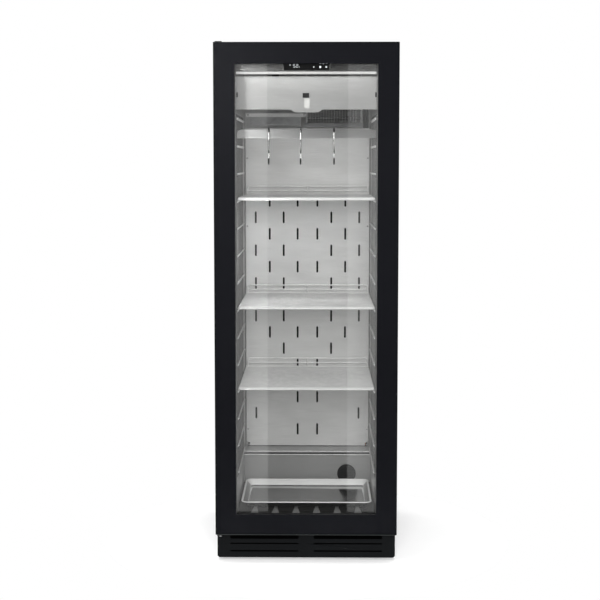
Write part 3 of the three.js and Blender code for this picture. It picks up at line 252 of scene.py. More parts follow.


def tray_steel():
    """A polished floor, painted light on the rolled rim and the rear wall, and walls painted dark with shade
    at the front.
    """
    r = recipe("tray_steel")
    low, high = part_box("drip_tray")
    height, depth = r.along("Z"), r.along("Y")
    fade_end, rear_wall = (high.y - inset for inset in TRAY_REAR_WALL)
    wall = height.ramp(*(low.z + rise for rise in TRAY_WALL_RISE))
    rim = height.ramp(*(high.z - drop for drop in TRAY_RIM_DROP))
    # painted light on the rim and the rear wall
    bright = rim + (1 - rim) * wall * depth.ramp(fade_end, rear_wall)
    drawn = r.noise(500, (1, 1, 0.05), 2)
    broad = r.noise(20)
    # painted shade on the walls at the front
    walls = r.mix(depth.ramp(low.y + TRAY_SHADE_START, fade_end), grey(0.03), grey(0.34))
    plain = r.mix(wall, r.mix(broad, grey(0.46), grey(0.54)), walls)
    colour = r.mix(bright, plain, r.mix(drawn, grey(0.8), grey(0.95)))
    normal = r.bump(drawn, 0.00002, 0.3)
    rough = broad * 0.08 + wall * 0.22 + 0.08
    return r.finished(r.principled(colour, rough, 1 - bright * 0.75, Normal=normal))


def polished_wire():
    """Drawn wire with a few duller spots."""
    r = recipe("polished_wire")
    drawn = r.noise(400, (0.1, 0.1, 1), 2)
    spots = r.noise(60, detail=4)
    colour = r.mix(spots.ramp(0.35, 0.75), grey(0.78), grey(0.952, 0.006))
    normal = r.bump(drawn, 0.00002, 0.4)
    return r.finished(r.principled(colour, spots * 0.12 + 0.12, 0.55, Normal=normal))


# Two painted highlight bands on a hook, as shares of its height from the top: where each fades in and out
HOOK_BAND_SHARES = ((0.1, 0.16, 0.3, 0.36), (0.66, 0.72, 0.8, 0.85))


def hook_steel():
    """Polished wire painted dark, as a painted reflection of dark surroundings, with painted highlights under
    the rail and where the load hangs.
    """
    r = recipe("hook_steel")
    low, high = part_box("hook_1")
    drop = (high.z - r.along("Z")) * (1 / (high.z - low.z))
    upper, lower = (drop.ramp(start, full) * (1 - drop.ramp(fading, end))
                    for start, full, fading, end in HOOK_BAND_SHARES)
    bright = upper + lower
    spots = r.noise(60, detail=4)
    # painted dark reflection, with the painted highlight bands
    colour = r.mix(bright, r.mix(spots, grey(0.17), grey(0.24)), r.mix(spots, grey(0.7), grey(0.82)))
    normal = r.bump(r.noise(400, (0.1, 0.1, 1), 2), 0.00002, 0.4)
    return r.finished(r.principled(colour, spots * 0.12 + 0.12, 1 - bright * 0.6, Normal=normal))


RAIL_LIGHT_SHARES = (-0.1, 0.62)      # of the rail's length, from painted light to painted shade


def rail_steel():
    """Brushed sheet, with painted light at the left end that fades into painted shade towards the right."""
    r = recipe("rail_steel")
    low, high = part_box("hanging_rail")
    streaks = r.noise(900, LEVEL_GRAIN, 2)
    across = (r.along("X") - low.x) * (1 / (high.x - low.x))
    # painted light at the left end, painted shade towards the right
    painted_light_left = 1 - across.ramp(*RAIL_LIGHT_SHARES)
    rail_shade = r.mix(streaks.ramp(0.3, 0.7), grey(0.42), grey(0.5))
    rail_light = r.mix(streaks.ramp(0.3, 0.7), grey(0.82), grey(0.92))
    normal = r.bump(streaks, 0.00003, 0.5)
    return r.finished(r.principled(r.mix(painted_light_left, rail_shade, rail_light), streaks * 0.1 + 0.28, 0.88, Normal=normal))


FRONT_HIGHLIGHT_SETBACK = (0.0066, 0.0082)    # behind a shelf's front: from the front rod's painted highlight to the rest
GUARD_SETBACK = (0.007, 0.0055)       # before its back: from the rest to the guard


def shelf_steel():
    """Polished rod, with a painted highlight on the front rod."""
    r = recipe("shelf_steel")
    low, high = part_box("shelf_1")
    # painted highlight on the front rod
    front_highlight = 1 - r.along("Y").ramp(*(low.y + setback for setback in FRONT_HIGHLIGHT_SETBACK))
    guard = r.along("Y").ramp(*(high.y - setback for setback in GUARD_SETBACK))
    drawn = r.noise(400, (1, 0.1, 0.1), 2)
    spots = r.noise(60, detail=4)
    plain = r.mix(spots.ramp(0.35, 0.75), grey(0.76), grey(0.9, 0.006))
    colour = r.mix(front_highlight, plain, r.mix(spots, grey(0.84), grey(0.94)))
    normal = r.bump(drawn, 0.00002, 0.4)
    metallic = 0.55 - front_highlight * 0.15 - guard * 0.3
    return r.finished(r.principled(colour, spots * 0.12 + 0.12, metallic, Normal=normal))


def galvanised():
    """Zinc-coated sheet with its spangle."""
    r = recipe("galvanised_sheet")
    spangle = r.cells(90, "Color")
    flake = r.node("ShaderNodeSeparateXYZ", sockets={"Vector": spangle})
    dust = r.noise(14, detail=4)
    tone = flake * 0.6 + dust * 0.4
    colour = r.mix(tone, grey(0.36, -0.01), grey(0.52, -0.012))
    normal = r.bump(flake, 0.00004, 0.4)
    return r.finished(r.principled(colour, flake * 0.16 + 0.36, 0.85, Normal=normal))


def mill_aluminium(name, level, metallic=0.9):
    """Bare sheet with the lines of its rolling."""
    r = recipe(name)
    lines = r.noise(700, (1, 1, 0.03), 2)
    stain = r.noise(18, detail=4)
    colour = r.mix(stain.ramp(0.3, 0.75), grey(level), grey(level * 1.25, -0.006))
    normal = r.bump(lines, 0.00002, 0.4)
    return r.finished(r.principled(colour, lines * 0.12 + 0.3, metallic, Normal=normal))


def copper_tube():
    """Soft copper, tarnished in patches."""
    r = recipe("copper_tube")
    tarnish = r.noise(55, detail=5)
    fine = r.noise(600, detail=2)
    colour = r.mix(tarnish.ramp(0.4, 0.7), (0.62, 0.29, 0.17, 1), (0.33, 0.14, 0.085, 1))
    normal = r.bump(fine, 0.00002, 0.3)
    return r.finished(r.principled(colour, tarnish * 0.25 + 0.22, 0.95, Normal=normal))


def powder_coat(name, level, sheen, roughness):
    """Satin black paint with the fine orange peel of powder coat."""
    r = recipe(name)
    peel = r.noise(750, detail=1)
    grit = r.noise(2600, detail=2)
    haze = r.noise(3.5)
    colour = r.mix(haze.ramp(0.35, 0.7), grey(level, -0.14), grey(level * 1.3, -0.14))
    normal = r.bump(peel * 0.8 + grit * 0.2, 0.00005, 0.6)
    rough = grit * 0.1 + roughness
    return r.finished(r.principled(colour, rough, 0.0, Normal=normal, Specular_IOR_Level=sheen))


# Materials: glass
def clear_glass(name, reflection):
    """A pane that lets light straight through and reflects more at a glancing angle."""
    r = recipe(name)
    facing = r.node("ShaderNodeLayerWeight", sockets={"Blend": 0.5}, output="Facing")
    smear = r.noise(6, detail=4)
    gloss = (facing ** 5) * 0.7 + reflection
    through = r.node("ShaderNodeBsdfTransparent", sockets={"Color": (0.987, 0.988, 0.986, 1)})
    mirror = r.principled(grey(0.95), smear.ramp(0.5, 0.9) * 0.03 + 0.01, 1.0)
    return r.finished(r.node("ShaderNodeMixShader", sockets={0: gloss, 1: through, 2: mirror}))


def glass_edge():
    """The dark ground edge of a pane."""
    r = recipe("ground_glass_edge")
    ground = r.noise(1500, detail=2)
    colour = r.mix(ground, (0.003, 0.005, 0.0045, 1), (0.008, 0.012, 0.011, 1))
    normal = r.bump(ground, 0.00002, 0.5)
    return r.finished(r.principled(colour, ground * 0.2 + 0.2, 0.0, Normal=normal))


def printed_black():
    """Enamel fired onto the back of the pane."""
    r = recipe("printed_black")
    speck = r.noise(1800, detail=2)
    broad = r.noise(2.5, detail=2)
    tone = speck * 0.3 + broad * 0.7
    colour = r.mix(tone.ramp(0.3, 0.7), (0.0044, 0.0046, 0.0062, 1), (0.0055, 0.0057, 0.0074, 1))
    normal = r.bump(speck, 0.00001, 0.3)
    return r.finished(r.principled(colour, speck * 0.1 + 0.45, 0.0, Normal=normal, Specular_IOR_Level=0.1))


# Materials: plastic, rubber, foam, and a black for painted shade
def moulded_plastic(name, dark, light, roughness):
    """Plastic with the fine spark-eroded texture of its mould."""
    r = recipe(name)
    grain = r.noise(1400, detail=2)
    flow = r.noise(12)
    colour = r.mix(flow.ramp(0.3, 0.75), dark, light)
    normal = r.bump(grain, 0.00006, 0.5)
    return r.finished(r.principled(colour, grain * 0.15 + (roughness - 0.07), 0.0, Normal=normal))


def display_gloss():
    """The smooth black face of the display."""
    r = recipe("display_gloss")
    swirl = r.noise(30, detail=4)
    colour = r.mix(swirl, (0.0015, 0.0015, 0.0018, 1), (0.003, 0.003, 0.0034, 1))
    normal = r.bump(swirl, 0.00001, 0.2)
    return r.finished(r.principled(colour, swirl * 0.04 + 0.1, 0.0, Normal=normal, Specular_IOR_Level=0.3))


def lit_mark():
    """The white segments and marks of the display."""
    r = recipe("lit_mark")
    uneven = r.noise(700, detail=2)
    colour = r.mix(uneven, (0.72, 0.76, 0.8, 1), (0.9, 0.93, 0.97, 1))
    rough = uneven * 0.2 + 0.4
    return r.finished(r.principled(colour, rough, 0.0, Emission_Color=colour, Emission_Strength=0.35))


DIODE_PITCH = 0.0167


def light_lens():
    """The frosted cover of the lamp, a little brighter over each diode."""
    r = recipe("light_lens")
    wave = r.node("ShaderNodeMath", {"operation": "SINE"}, {0: r.along("X") * (math.tau / DIODE_PITCH)})
    frost = r.noise(900, detail=2)
    glow = wave * 0.12 + 0.5 + frost * 0.1
    colour = r.mix(glow, (0.75, 0.76, 0.75, 1), (1.0, 1.0, 0.98, 1))
    rough = frost * 0.15 + 0.4
    return r.finished(r.principled(grey(0.5), rough, 0.0, Emission_Color=colour, Emission_Strength=0.08))


def seal_rubber():
    """Black rubber with a little chalky bloom."""
    r = recipe("seal_rubber")
    fine = r.noise(1200, detail=2)
    chalk = r.noise(40, detail=4)
    colour = r.mix(chalk.ramp(0.45, 0.8), (0.011, 0.011, 0.011, 1), (0.022, 0.022, 0.021, 1))
    normal = r.bump(fine, 0.00005, 0.4)
    return r.finished(r.principled(colour, fine * 0.15 + 0.6, 0.0, Normal=normal))


def rigid_foam():
    """Foamed-in-place insulation, yellow and open-celled where it shows."""
    r = recipe("rigid_foam")
    cells = r.cells(500)
    broad = r.noise(20)
    colour = r.mix(broad, (0.72, 0.6, 0.32, 1), (0.85, 0.75, 0.48, 1))
    normal = r.bump(cells, 0.0003, 0.8)
    return r.finished(r.principled(colour, cells * 0.1 + 0.85, 0.0, Normal=normal))


def painted_slot_shade():
    """A matt black, which takes up nearly all the light: painted shade in slots."""
    r = recipe("painted_slot_shade")
    nap = r.noise(500)
    colour = r.mix(nap, grey(0.0006), grey(0.0016))
    normal = r.bump(nap, 0.00005, 0.5)
    return r.finished(r.principled(colour, 1.0, 0.0, Normal=normal, Specular_IOR_Level=0.0))


# The finishes, one for each kind of surface, with lit and shaded copies of some of them
STEEL = brushed_steel("brushed_steel", 0.5, 0.36)
# lighter and darker copies of one steel: painted light on the duct panel and the shroud's strip, painted
# shade on the cover, which the lamps light more
LIT_STEEL_PANEL = brushed_steel("brushed_steel_lit_copy", 0.74, 0.44, metallic=0.4)
SHADED_STEEL_COVER = brushed_steel("brushed_steel_shaded_copy", 0.47, 0.44, metallic=0.6)
STEEL_FASCIA = brushed_steel("brushed_steel_fascia", 0.4, 0.3, metallic=1.0)
STEEL_BRIGHT = brushed_steel("brushed_steel_bright", 0.72, 0.24, metallic=0.9)
# a pale copy of the steel: painted highlight on the step's rolled hems
HEM_HIGHLIGHT_STEEL = brushed_steel("brushed_steel_hem_highlight", 0.9, 0.4, metallic=0.15)
STEEL_LINER = liner_steel()
STEEL_LADDER = ladder_steel()
STEEL_RAIL = rail_steel()
STEEL_HOOK = hook_steel()
STEEL_SHELF = shelf_steel()
STEEL_TRAY = tray_steel()
SCREW_STEEL = polished_wire()
ZINC = galvanised()
ALUMINIUM = mill_aluminium("mill_aluminium", 0.5)
PAN_ALUMINIUM = mill_aluminium("dull_aluminium", 0.26)
# a lighter copy of the aluminium: painted light on the cold coil's fins
LIT_FIN_ALUMINIUM = mill_aluminium("fin_aluminium_lit", 0.75, 0.25)
COPPER = copper_tube()
PAINT = powder_coat("powder_coat", 0.0032, 0.1, 0.42)
CASE_PAINT = powder_coat("case_powder_coat", 0.006, 0.32, 0.36)
FRONT_GLASS = clear_glass("front_glass", 0.004)
INNER_GLASS = clear_glass("inner_glass", 0.05)
GLASS_EDGE = glass_edge()
ENAMEL = printed_black()
SLEEVE_FOAM = moulded_plastic("sleeve_foam", (0.006, 0.006, 0.006, 1), (0.012, 0.012, 0.012, 1), 0.85)
BLACK_PLASTIC = moulded_plastic("black_plastic", (0.009, 0.009, 0.0095, 1), (0.016, 0.016, 0.0165, 1), 0.5)
# painted shade behind the slots of the duct panel and the plinth
SLOT_SHADE = painted_slot_shade()
WHITE_PLASTIC = moulded_plastic("white_plastic", (0.7, 0.7, 0.68, 1), (0.78, 0.78, 0.76, 1), 0.45)
LABEL_FILM = moulded_plastic("label_film", (0.5, 0.5, 0.49, 1), (0.57, 0.57, 0.56, 1), 0.5)
# painted shade: grey strips on the step's lip and at the duct panel's foot
SHADE_GREY = moulded_plastic("painted_shade_grey", (0.05, 0.05, 0.05, 1), (0.07, 0.07, 0.07, 1), 0.7)
GLOSS = display_gloss()
MARK = lit_mark()
LENS = light_lens()
RUBBER = seal_rubber()
FOAM = rigid_foam()


# Shapes
FILM_EDGE = 0.0001        # rounding of the edges of films and mats, of small marks, and so on
FINE_EDGE = 0.0002
TRIM_EDGE = 0.0003
SHEET_EDGE = 0.0004
SCREW_SIDES = 20
SCREW_RISE_SHARE = 0.55   # height of a screw's head, of its radius
# Points of the head, outwards as shares of its radius and up as shares of its height
SCREW_HEAD_SHARES = ((0, 0.35), (0.36, 0.35), (0.42, 1), (0.7, 0.9), (0.93, 0.55), (1, 0))
MERGE_DISTANCE = 1e-6


def finished_object(name, bm, material):
    """Turns a bmesh into an object of the scene, in one material."""
    mesh = bpy.data.meshes.new(name)
    bm.to_mesh(mesh)
    bm.free()
    mesh.materials.append(material)
    made = bpy.data.objects.new(name, mesh)
    bpy.context.scene.collection.objects.link(made)
    return made


class Shape:
    """A mesh under construction."""

    def __init__(self):
        self.bm = bmesh.new()

    def block(self, low, high, bevel=0.0, segments=1):
        """A box between two corners, with rounded edges."""
        low, high = Vector(low), Vector(high)
        place = Matrix.Translation((low + high) / 2) @ Matrix.Diagonal((*(high - low), 1))
        verts = bmesh.ops.create_cube(self.bm, size=1, matrix=place)["verts"]
        if bevel:
            edges = list({edge for vert in verts for edge in vert.link_edges})
            bmesh.ops.bevel(self.bm, geom=edges, offset=bevel, offset_type="OFFSET", segments=segments,
                            profile=0.5, affect="EDGES", material=-1, clamp_overlap=True)

    def rod(self, start, end, radius, sides=16):
        """A round rod with flat ends."""
        start, end = Vector(start), Vector(end)
        turn = (end - start).to_track_quat("Z", "Y").to_matrix().to_4x4()
        bmesh.ops.create_cone(self.bm, cap_ends=True, cap_tris=False, segments=sides, radius1=radius,
                              radius2=radius, depth=(end - start).length,
                              matrix=Matrix.Translation((start + end) / 2) @ turn)

    def lathe(self, profile, centre, axis, sides):
        """A turned shape, from points given as (radius, place along the axis)."""
        axis = Vector(axis).normalized()
        place = Matrix.Translation(centre) @ axis.to_track_quat("Z", "Y").to_matrix().to_4x4()
        verts = [self.bm.verts.new(place @ Vector((radius, 0, along))) for radius, along in profile]
        edges = [self.bm.edges.new(pair) for pair in zip(verts, verts[1:])]
        bmesh.ops.spin(self.bm, geom=verts + edges, cent=centre, axis=axis, angle=math.tau, steps=sides,
                       use_merge=True)

    def reach(self, ring, step):
        """Extends an open end by a step and gives the edges of the new end."""
        made = bmesh.ops.extrude_edge_only(self.bm, edges=ring)["geom"]
        verts = [item for item in made if isinstance(item, bmesh.types.BMVert)]
        bmesh.ops.translate(self.bm, verts=verts, vec=step)
        return [edge for edge in made if isinstance(edge, bmesh.types.BMEdge) and edge.is_boundary
                and all(vert in verts for vert in edge.verts)]

    def wire(self, points, radius, bends, sides=12, steps=5, tip=None, loop=False):
        """A round wire through the points. Its bends are one radius, or a list with one for each corner.
        A tip is the length of a tapered end, and the share of the wire's width that is left there."""
        points = [Vector(point) for point in points]
        corners = len(points) - 2
        bends = bends if isinstance(bends, list) else [bends] * corners
        here, heading = points[0], (points[1] - points[0]).normalized()
        place = Matrix.Translation(here) @ heading.to_track_quat("Z", "Y").to_matrix().to_4x4()
        verts = bmesh.ops.create_circle(self.bm, segments=sides, radius=radius, matrix=place)["verts"]
        first = ring = list({edge for vert in verts for edge in vert.link_edges})
        for corner, after, bend in zip(points[1:], points[2:], bends):
            turned = (after - corner).normalized()
            angle = heading.angle(turned)
            back = bend * math.tan(angle / 2)
            ring = self.reach(ring, corner - heading * back - here)
            axis = heading.cross(turned).normalized()
            centre = corner - heading * back + axis.cross(heading) * bend
            ends = {vert for edge in ring for vert in edge.verts}
            made = bmesh.ops.spin(self.bm, geom=list(ends) + ring, cent=centre, axis=axis, angle=angle,
                                  steps=steps)
            ring = [item for item in made["geom_last"] if isinstance(item, bmesh.types.BMEdge)]
            here, heading = corner + turned * back, turned
        ring = self.reach(ring, points[-1] - here)
        if tip:
            length, share = tip
            ring = self.reach(ring, heading * length)
            ends = {vert for edge in ring for vert in edge.verts}
            bmesh.ops.scale(self.bm, verts=list(ends), vec=(share,) * 3,
                            space=Matrix.Translation(-(points[-1] + heading * length)))
        if not loop:
            for end in (first, ring):
                bmesh.ops.contextual_create(self.bm, geom=end)

    def rounded_loop(self, centre, half_x, half_y, radius, sides=48):
        """A level rounded rectangle of edges. Its number of sides is a multiple of 4."""
        place = Matrix.Translation(centre) @ Matrix.Rotation(math.pi / sides, 4, "Z")
        verts = bmesh.ops.create_circle(self.bm, segments=sides, radius=radius, matrix=place)["verts"]
        for vert in verts:
            vert.co.x += math.copysign(half_x - radius, vert.co.x - centre[0])
            vert.co.y += math.copysign(half_y - radius, vert.co.y - centre[1])
        return list({edge for vert in verts for edge in vert.link_edges})

    def skin(self, loops):
        """A closed wall through the loops, with a face over the first and the last."""
        for loop, following in zip(loops, loops[1:]):
            bmesh.ops.bridge_loops(self.bm, edges=loop + following)
        bmesh.ops.contextual_create(self.bm, geom=loops[0])
        bmesh.ops.contextual_create(self.bm, geom=loops[-1])

    def door_ring(self, section):
        """A closed ring round the door. Each point of its section is (inset from the door's edge, y)."""
        loops = []
        for inset, y in section:
            half, low, high = DOOR_HIGH.x - inset, DOOR_LOW.z + inset, DOOR_HIGH.z - inset
            place = (Matrix.Translation((0, y, (low + high) / 2)) @ Matrix.Rotation(math.pi / 2, 4, "X")
                     @ Matrix.Diagonal((half, (high - low) / 2, 1, 1)))
            verts = bmesh.ops.create_grid(self.bm, x_segments=1, y_segments=1, size=1, matrix=place)["verts"]
            bmesh.ops.delete(self.bm, geom=list(verts[0].link_faces), context="FACES_ONLY")
            loops.append(list({edge for vert in verts for edge in vert.link_edges}))
        for loop, following in zip(loops, loops[1:] + loops[:1]):
            bmesh.ops.bridge_loops(self.bm, edges=loop + following)

    def screw(self, centre, axis, radius):
        """A pan-head screw with a round drive recess."""
        rise = radius * SCREW_RISE_SHARE
        head = [(radius * out, rise * up) for out, up in SCREW_HEAD_SHARES]
        self.lathe(head + [(radius, -SEAT), (0, -SEAT)], centre, axis, SCREW_SIDES)

    def done(self, name, body, material, replaces=(), crease=35):
        """Makes the piece, which rides on the body and stands for the CAD nodes that it replaces."""
        bmesh.ops.remove_doubles(self.bm, verts=self.bm.verts, dist=MERGE_DISTANCE)
        bmesh.ops.recalc_face_normals(self.bm, faces=self.bm.faces)
        piece = finished_object(name, self.bm, material)
        piece.data.shade_smooth()
        piece.data.set_sharp_from_angle(angle=math.radians(crease))
        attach(piece, body)
        if replaces:
            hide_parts(*replaces)


# CAD nodes that keep their shape
WELD_DISTANCE = 0.00001
FLAT_ANGLE = 1            # in degrees, between triangles that are one flat face
EDGE_ANGLE = 40           # between faces whose edge is rounded
CASE_EDGE = 0.0012        # rounding of the nodes' edges, in metres
FRONT_PANE_EDGE = 0.0018
INNER_PANE_EDGE = 0.001
LENS_EDGE = 0.001
BAR_EDGE = 0.0008
PANEL_EDGE = 0.0006
THIN_EDGE = 0.0005


def dress(material, *nodes, edge=0.0, solid=False):
    """Gives CAD nodes a material and, where edge isn't 0, rounds their edges by that much.
    A solid node has no face with a hole in it, so its triangles can be joined into flat faces first."""
    for name in nodes:
        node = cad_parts[name]
        node.data.materials.clear()
        node.data.materials.append(material)
        if edge:
            node.modifiers.new("weld", "WELD").merge_threshold = WELD_DISTANCE
            if solid:
                flat = node.modifiers.new("flat", "DECIMATE")
                flat.decimate_type = "DISSOLVE"
                flat.angle_limit = math.radians(FLAT_ANGLE)
            bevel = node.modifiers.new("edge", "BEVEL")
            bevel.width = edge
            bevel.segments = 2
            bevel.limit_method = "ANGLE"
            bevel.angle_limit = math.radians(EDGE_ANGLE)
            node.modifiers.new("shading", "WEIGHTED_NORMAL").keep_sharp = False


def dress_pane(name, material, edge):
    """A pane has clear faces and a dark ground edge."""
    dress(material, name, edge=edge, solid=True)
    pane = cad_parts[name]
    pane.data.materials.append(GLASS_EDGE)
    pane.modifiers["edge"].material = 1


def dress_case():
    dress(CASE_PAINT, "outer_case", edge=CASE_EDGE)
    dress(CASE_PAINT, "rear_grille", edge=THIN_EDGE)
    dress(PAINT, "plinth_grille", edge=THIN_EDGE)
    dress(PAINT, "hinge_plate_lower", "hinge_plate_upper", edge=PANEL_EDGE)
    dress(SCREW_STEEL, "hinge_pin_lower", "hinge_pin_upper")
    dress(ZINC, "rear_panel", "floor_plate", "base_pan", edge=THIN_EDGE)
    dress(FOAM, "insulation_foam")
    dress(STEEL, "front_frame")


def dress_door():
    dress(PAINT, "door_frame", "door_grip", edge=PANEL_EDGE)
    dress_pane("door_front_glass", FRONT_GLASS, FRONT_PANE_EDGE)
    dress_pane("door_inner_glass", INNER_GLASS, INNER_PANE_EDGE)
    dress(ENAMEL, "glass_border")
    dress(BLACK_PLASTIC, "glass_spacer")
    dress(WHITE_PLASTIC, "hinge_bush_lower", "hinge_bush_upper")


def dress_inside():
    dress(STEEL_LINER, "inner_liner")
    dress(LIT_STEEL_PANEL, "duct_panel", edge=TRIM_EDGE)
    dress(STEEL_LADDER, "side_ladder_left", "side_ladder_right")
    dress(STEEL_RAIL, "hanging_rail", edge=BAR_EDGE, solid=True)
    dress(STEEL, "rail_bracket_left", "rail_bracket_right", edge=BAR_EDGE, solid=True)
    dress(STEEL_FASCIA, "control_housing", edge=PANEL_EDGE)
    dress(SHADED_STEEL_COVER, "evaporator_cover", edge=PANEL_EDGE)
    dress(GLOSS, "display_panel", edge=BAR_EDGE, solid=True)
    dress(LENS, "light_strip", edge=LENS_EDGE, solid=True)
    dress(BLACK_PLASTIC, "air_sensor", edge=BAR_EDGE, solid=True)
    dress(BLACK_PLASTIC, "filter_socket", edge=SHEET_EDGE)


def dress_machinery():
    dress(PAINT, "compressor")
    dress(COPPER, "suction_line", "discharge_line")
    dress(ALUMINIUM, "condenser_coil")
    dress(PAN_ALUMINIUM, "drip_pan")
    dress(ZINC, "fan_shroud")
    dress(BLACK_PLASTIC, "circulation_fan", "condenser_fan_frame", "condenser_fan")
    dress(BLACK_PLASTIC, "power_inlet", "evaporation_pan", edge=SHEET_EDGE)
    dress(WHITE_PLASTIC, "drain_tube")


# Shelves
SHELF_ROD = 0.006
SHELF_WIRE = 0.004
SHELF_WIRE_COUNT = 24
SHELF_CORNER = 0.005
GUARD_ROD = 0.005
GUARD_INSET = 0.006
GUARD_CORNER = 0.01
GUARD_MIDDLE = 0.0155         # middle of its lower rod above the frame


def add_shelf(node, body):
    """A frame of round rod with a centre rod, wires welded across it, and a guard at the back."""
    low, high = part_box(node)
    shape = Shape()
    rod, wire, guard = SHELF_ROD / 2, SHELF_WIRE / 2, GUARD_ROD / 2
    x, front, back, z = high.x - rod, low.y + rod, high.y - rod, low.z + rod
    corners = [(0, front, z), (x, front, z), (x, back, z), (-x, back, z), (-x, front, z), (0, front, z)]
    shape.wire(corners, rod, SHELF_CORNER, sides=16, loop=True)
    shape.rod((0, front, z), (0, back, z), rod)
    pitch = (high.y - low.y - SHELF_WIRE) / (SHELF_WIRE_COUNT - 1)
    for i in range(SHELF_WIRE_COUNT):
        y = low.y + wire + i * pitch
        height = low.z + SHELF_ROD + wire - SEAT
        shape.rod((-x, y, height), (x, y, height), wire, sides=10)
    side, depth, top = high.x - GUARD_INSET - guard, high.y - guard, high.z - guard
    arch = [(-side, depth, z), (-side, depth, top), (side, depth, top), (side, depth, z)]
    shape.wire(arch, guard, GUARD_CORNER)
    middle = low.z + SHELF_ROD + GUARD_MIDDLE
    shape.rod((-side, depth, middle), (side, depth, middle), guard - SEAT)
    shape.rod((0, depth, z), (0, depth, top), guard - SEAT)
    shape.done(node + "_wires", body, STEEL_SHELF, [node])


# Hooks
HOOK_LOOP = 0.006
HOOK_TAIL = 0.012
HOOK_BOWL = 0.012
HOOK_TIP = 0.014
HOOK_POINT = (0.006, 0.3)     # length of its tapered end, and the share of its width left there


def add_hook(node, body):
    """A wire S with a small loop over the rail and a pointed bowl below."""
    low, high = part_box(node)
    radius = (high.x - low.x) / 2
    x = (low.x + high.x) / 2
    tail, tip = high.y - radius, low.y + radius
    shank = tail - 2 * HOOK_LOOP
    top, bottom = high.z - radius, low.z + radius
    route = [(tail, top - HOOK_LOOP - HOOK_TAIL), (tail, top), (shank, top), (shank, bottom), (tip, bottom),
             (tip, bottom + HOOK_BOWL + HOOK_TIP - HOOK_POINT[0])]
    shape = Shape()
    shape.wire([(x, y, z) for y, z in route], radius, [HOOK_LOOP, HOOK_LOOP, HOOK_BOWL, HOOK_BOWL],
               sides=16, steps=8, tip=HOOK_POINT)
    shape.done(node + "_wire", body, STEEL_HOOK, [node])


# Collecting tray
TRAY_CORNER = 0.026
TRAY_FLARE = 0.02
TRAY_RIM = 0.004
TRAY_SHEET = 0.0012
TRAY_TOE = ((0.002, 0), (0.0006, 0.0004), (0, 0.0015))      # outer corner at the floor: inset and rise
TRAY_COVE = ((TRAY_SHEET, 0.0032), (0.0024, 0.0018), (0.0048, TRAY_SHEET))      # the inner corner there
TRAY_ROLL_ANGLES = range(-30, -331, -30)      # the points round the rolled rim


def add_tray():
    """A drawn pan with flared walls and a rolled rim."""
    low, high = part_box("drip_tray")
    centre = (low + high) / 2
    bead = TRAY_RIM / 2
    toe = [(TRAY_FLARE + inset, low.z + rise) for inset, rise in TRAY_TOE]
    turns = [math.radians(angle) for angle in TRAY_ROLL_ANGLES]
    roll = [(bead + bead * math.cos(turn), high.z - bead + bead * math.sin(turn)) for turn in turns]
    cove = [(TRAY_FLARE + inset, low.z + rise) for inset, rise in TRAY_COVE]
    shape = Shape()
    loops = []
    for inset, z in toe + roll + [(TRAY_RIM + TRAY_SHEET, high.z - bead)] + cove:
        half_x, half_y = high.x - inset, (high.y - low.y) / 2 - inset
        loops.append(shape.rounded_loop((centre.x, centre.y, z), half_x, half_y, TRAY_CORNER - inset))
    shape.skin(loops)
    shape.done("drip_tray_pan", "tray", STEEL_TRAY, ["drip_tray"], crease=50)


# Door seal
SEAL_INSET = 0.026
SEAL_WIDTH = 0.02
# One side of its section: how far inside its edge, and the share of its depth
SEAL_SIDE_SHARES = ((0.004, 0), (0.003, 0.25), (0.0008, 0.4), (0, 0.7), (0.001, 1))


def add_gasket():
    """A magnetic seal: a snap-in foot on the door, a bellows and a flat face on the cabinet."""
    low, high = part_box("door_gasket")
    side = [(inset, low.y + (high.y - low.y) * share) for inset, share in SEAL_SIDE_SHARES]
    outer = [(SEAL_INSET + inset, y) for inset, y in side]
    inner = [(SEAL_INSET + SEAL_WIDTH - inset, y) for inset, y in reversed(side)]
    shape = Shape()
    shape.door_ring(outer + inner)
    shape.done("door_gasket_profile", "door", RUBBER, ["door_gasket"], crease=60)


# Display
DISPLAY_LOW, DISPLAY_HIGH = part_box("display_panel")
DIGIT_SIZE = (0.006, 0.0095)
DIGIT_STROKE = 0.0012
DIGIT_PITCH = 0.0092
DIGIT_LEFT = -0.0425
STROKE_GAP_SHARE = 0.4        # of a stroke's width, left open between strokes
SEGMENTS = {"a": (0, 1, 1, 1), "b": (1, 0.5, 1, 1), "c": (1, 0, 1, 0.5), "d": (0, 0, 1, 0),
            "e": (0, 0, 0, 0.5), "f": (0, 0.5, 0, 1), "g": (0, 0.5, 1, 0.5)}
DIGITS = {"2": "abged", "5": "afgcd"}
READING = "52"
MARK_RISE = 0.0004
MARK_FLAT_SHARE = 0.9         # the flat middle of a turned mark, of its radius
MARK_BASE = DISPLAY_LOW.z + 0.0085        # foot of the digits
# x, height over the base, radius and number of sides
TURNED_MARKS = ((-0.0235, 0.001, 0.0012, 20), (-0.0525, 0.0073, 0.003, 3), (0.0242, 0.001, 0.003, 3),
                (0.0447, 0.001, 0.0034, 20), (0.0642, 0.001, 0.0036, 4))
BAR_MARK_HEIGHT = 0.0125
# x, width and height
BAR_MARKS = ((0.045, 0.006, 0.0012), (0.055, 0.0012, 0.006), (0.055, 0.006, 0.0012),
             (0.065, 0.006, 0.0012), (0.055, 0.0012, 0.003))
DISPLAY_TRIM_HALF = 0.0014
DISPLAY_TRIM_DEPTHS = (0.0004, 0.0024)        # behind the panel's face


def add_bar_mark(shape, x, z, width, height):
    shape.block((x - width / 2, DISPLAY_LOW.y - MARK_RISE, z - height / 2),
                (x + width / 2, DISPLAY_LOW.y + SEAT, z + height / 2), FINE_EDGE)


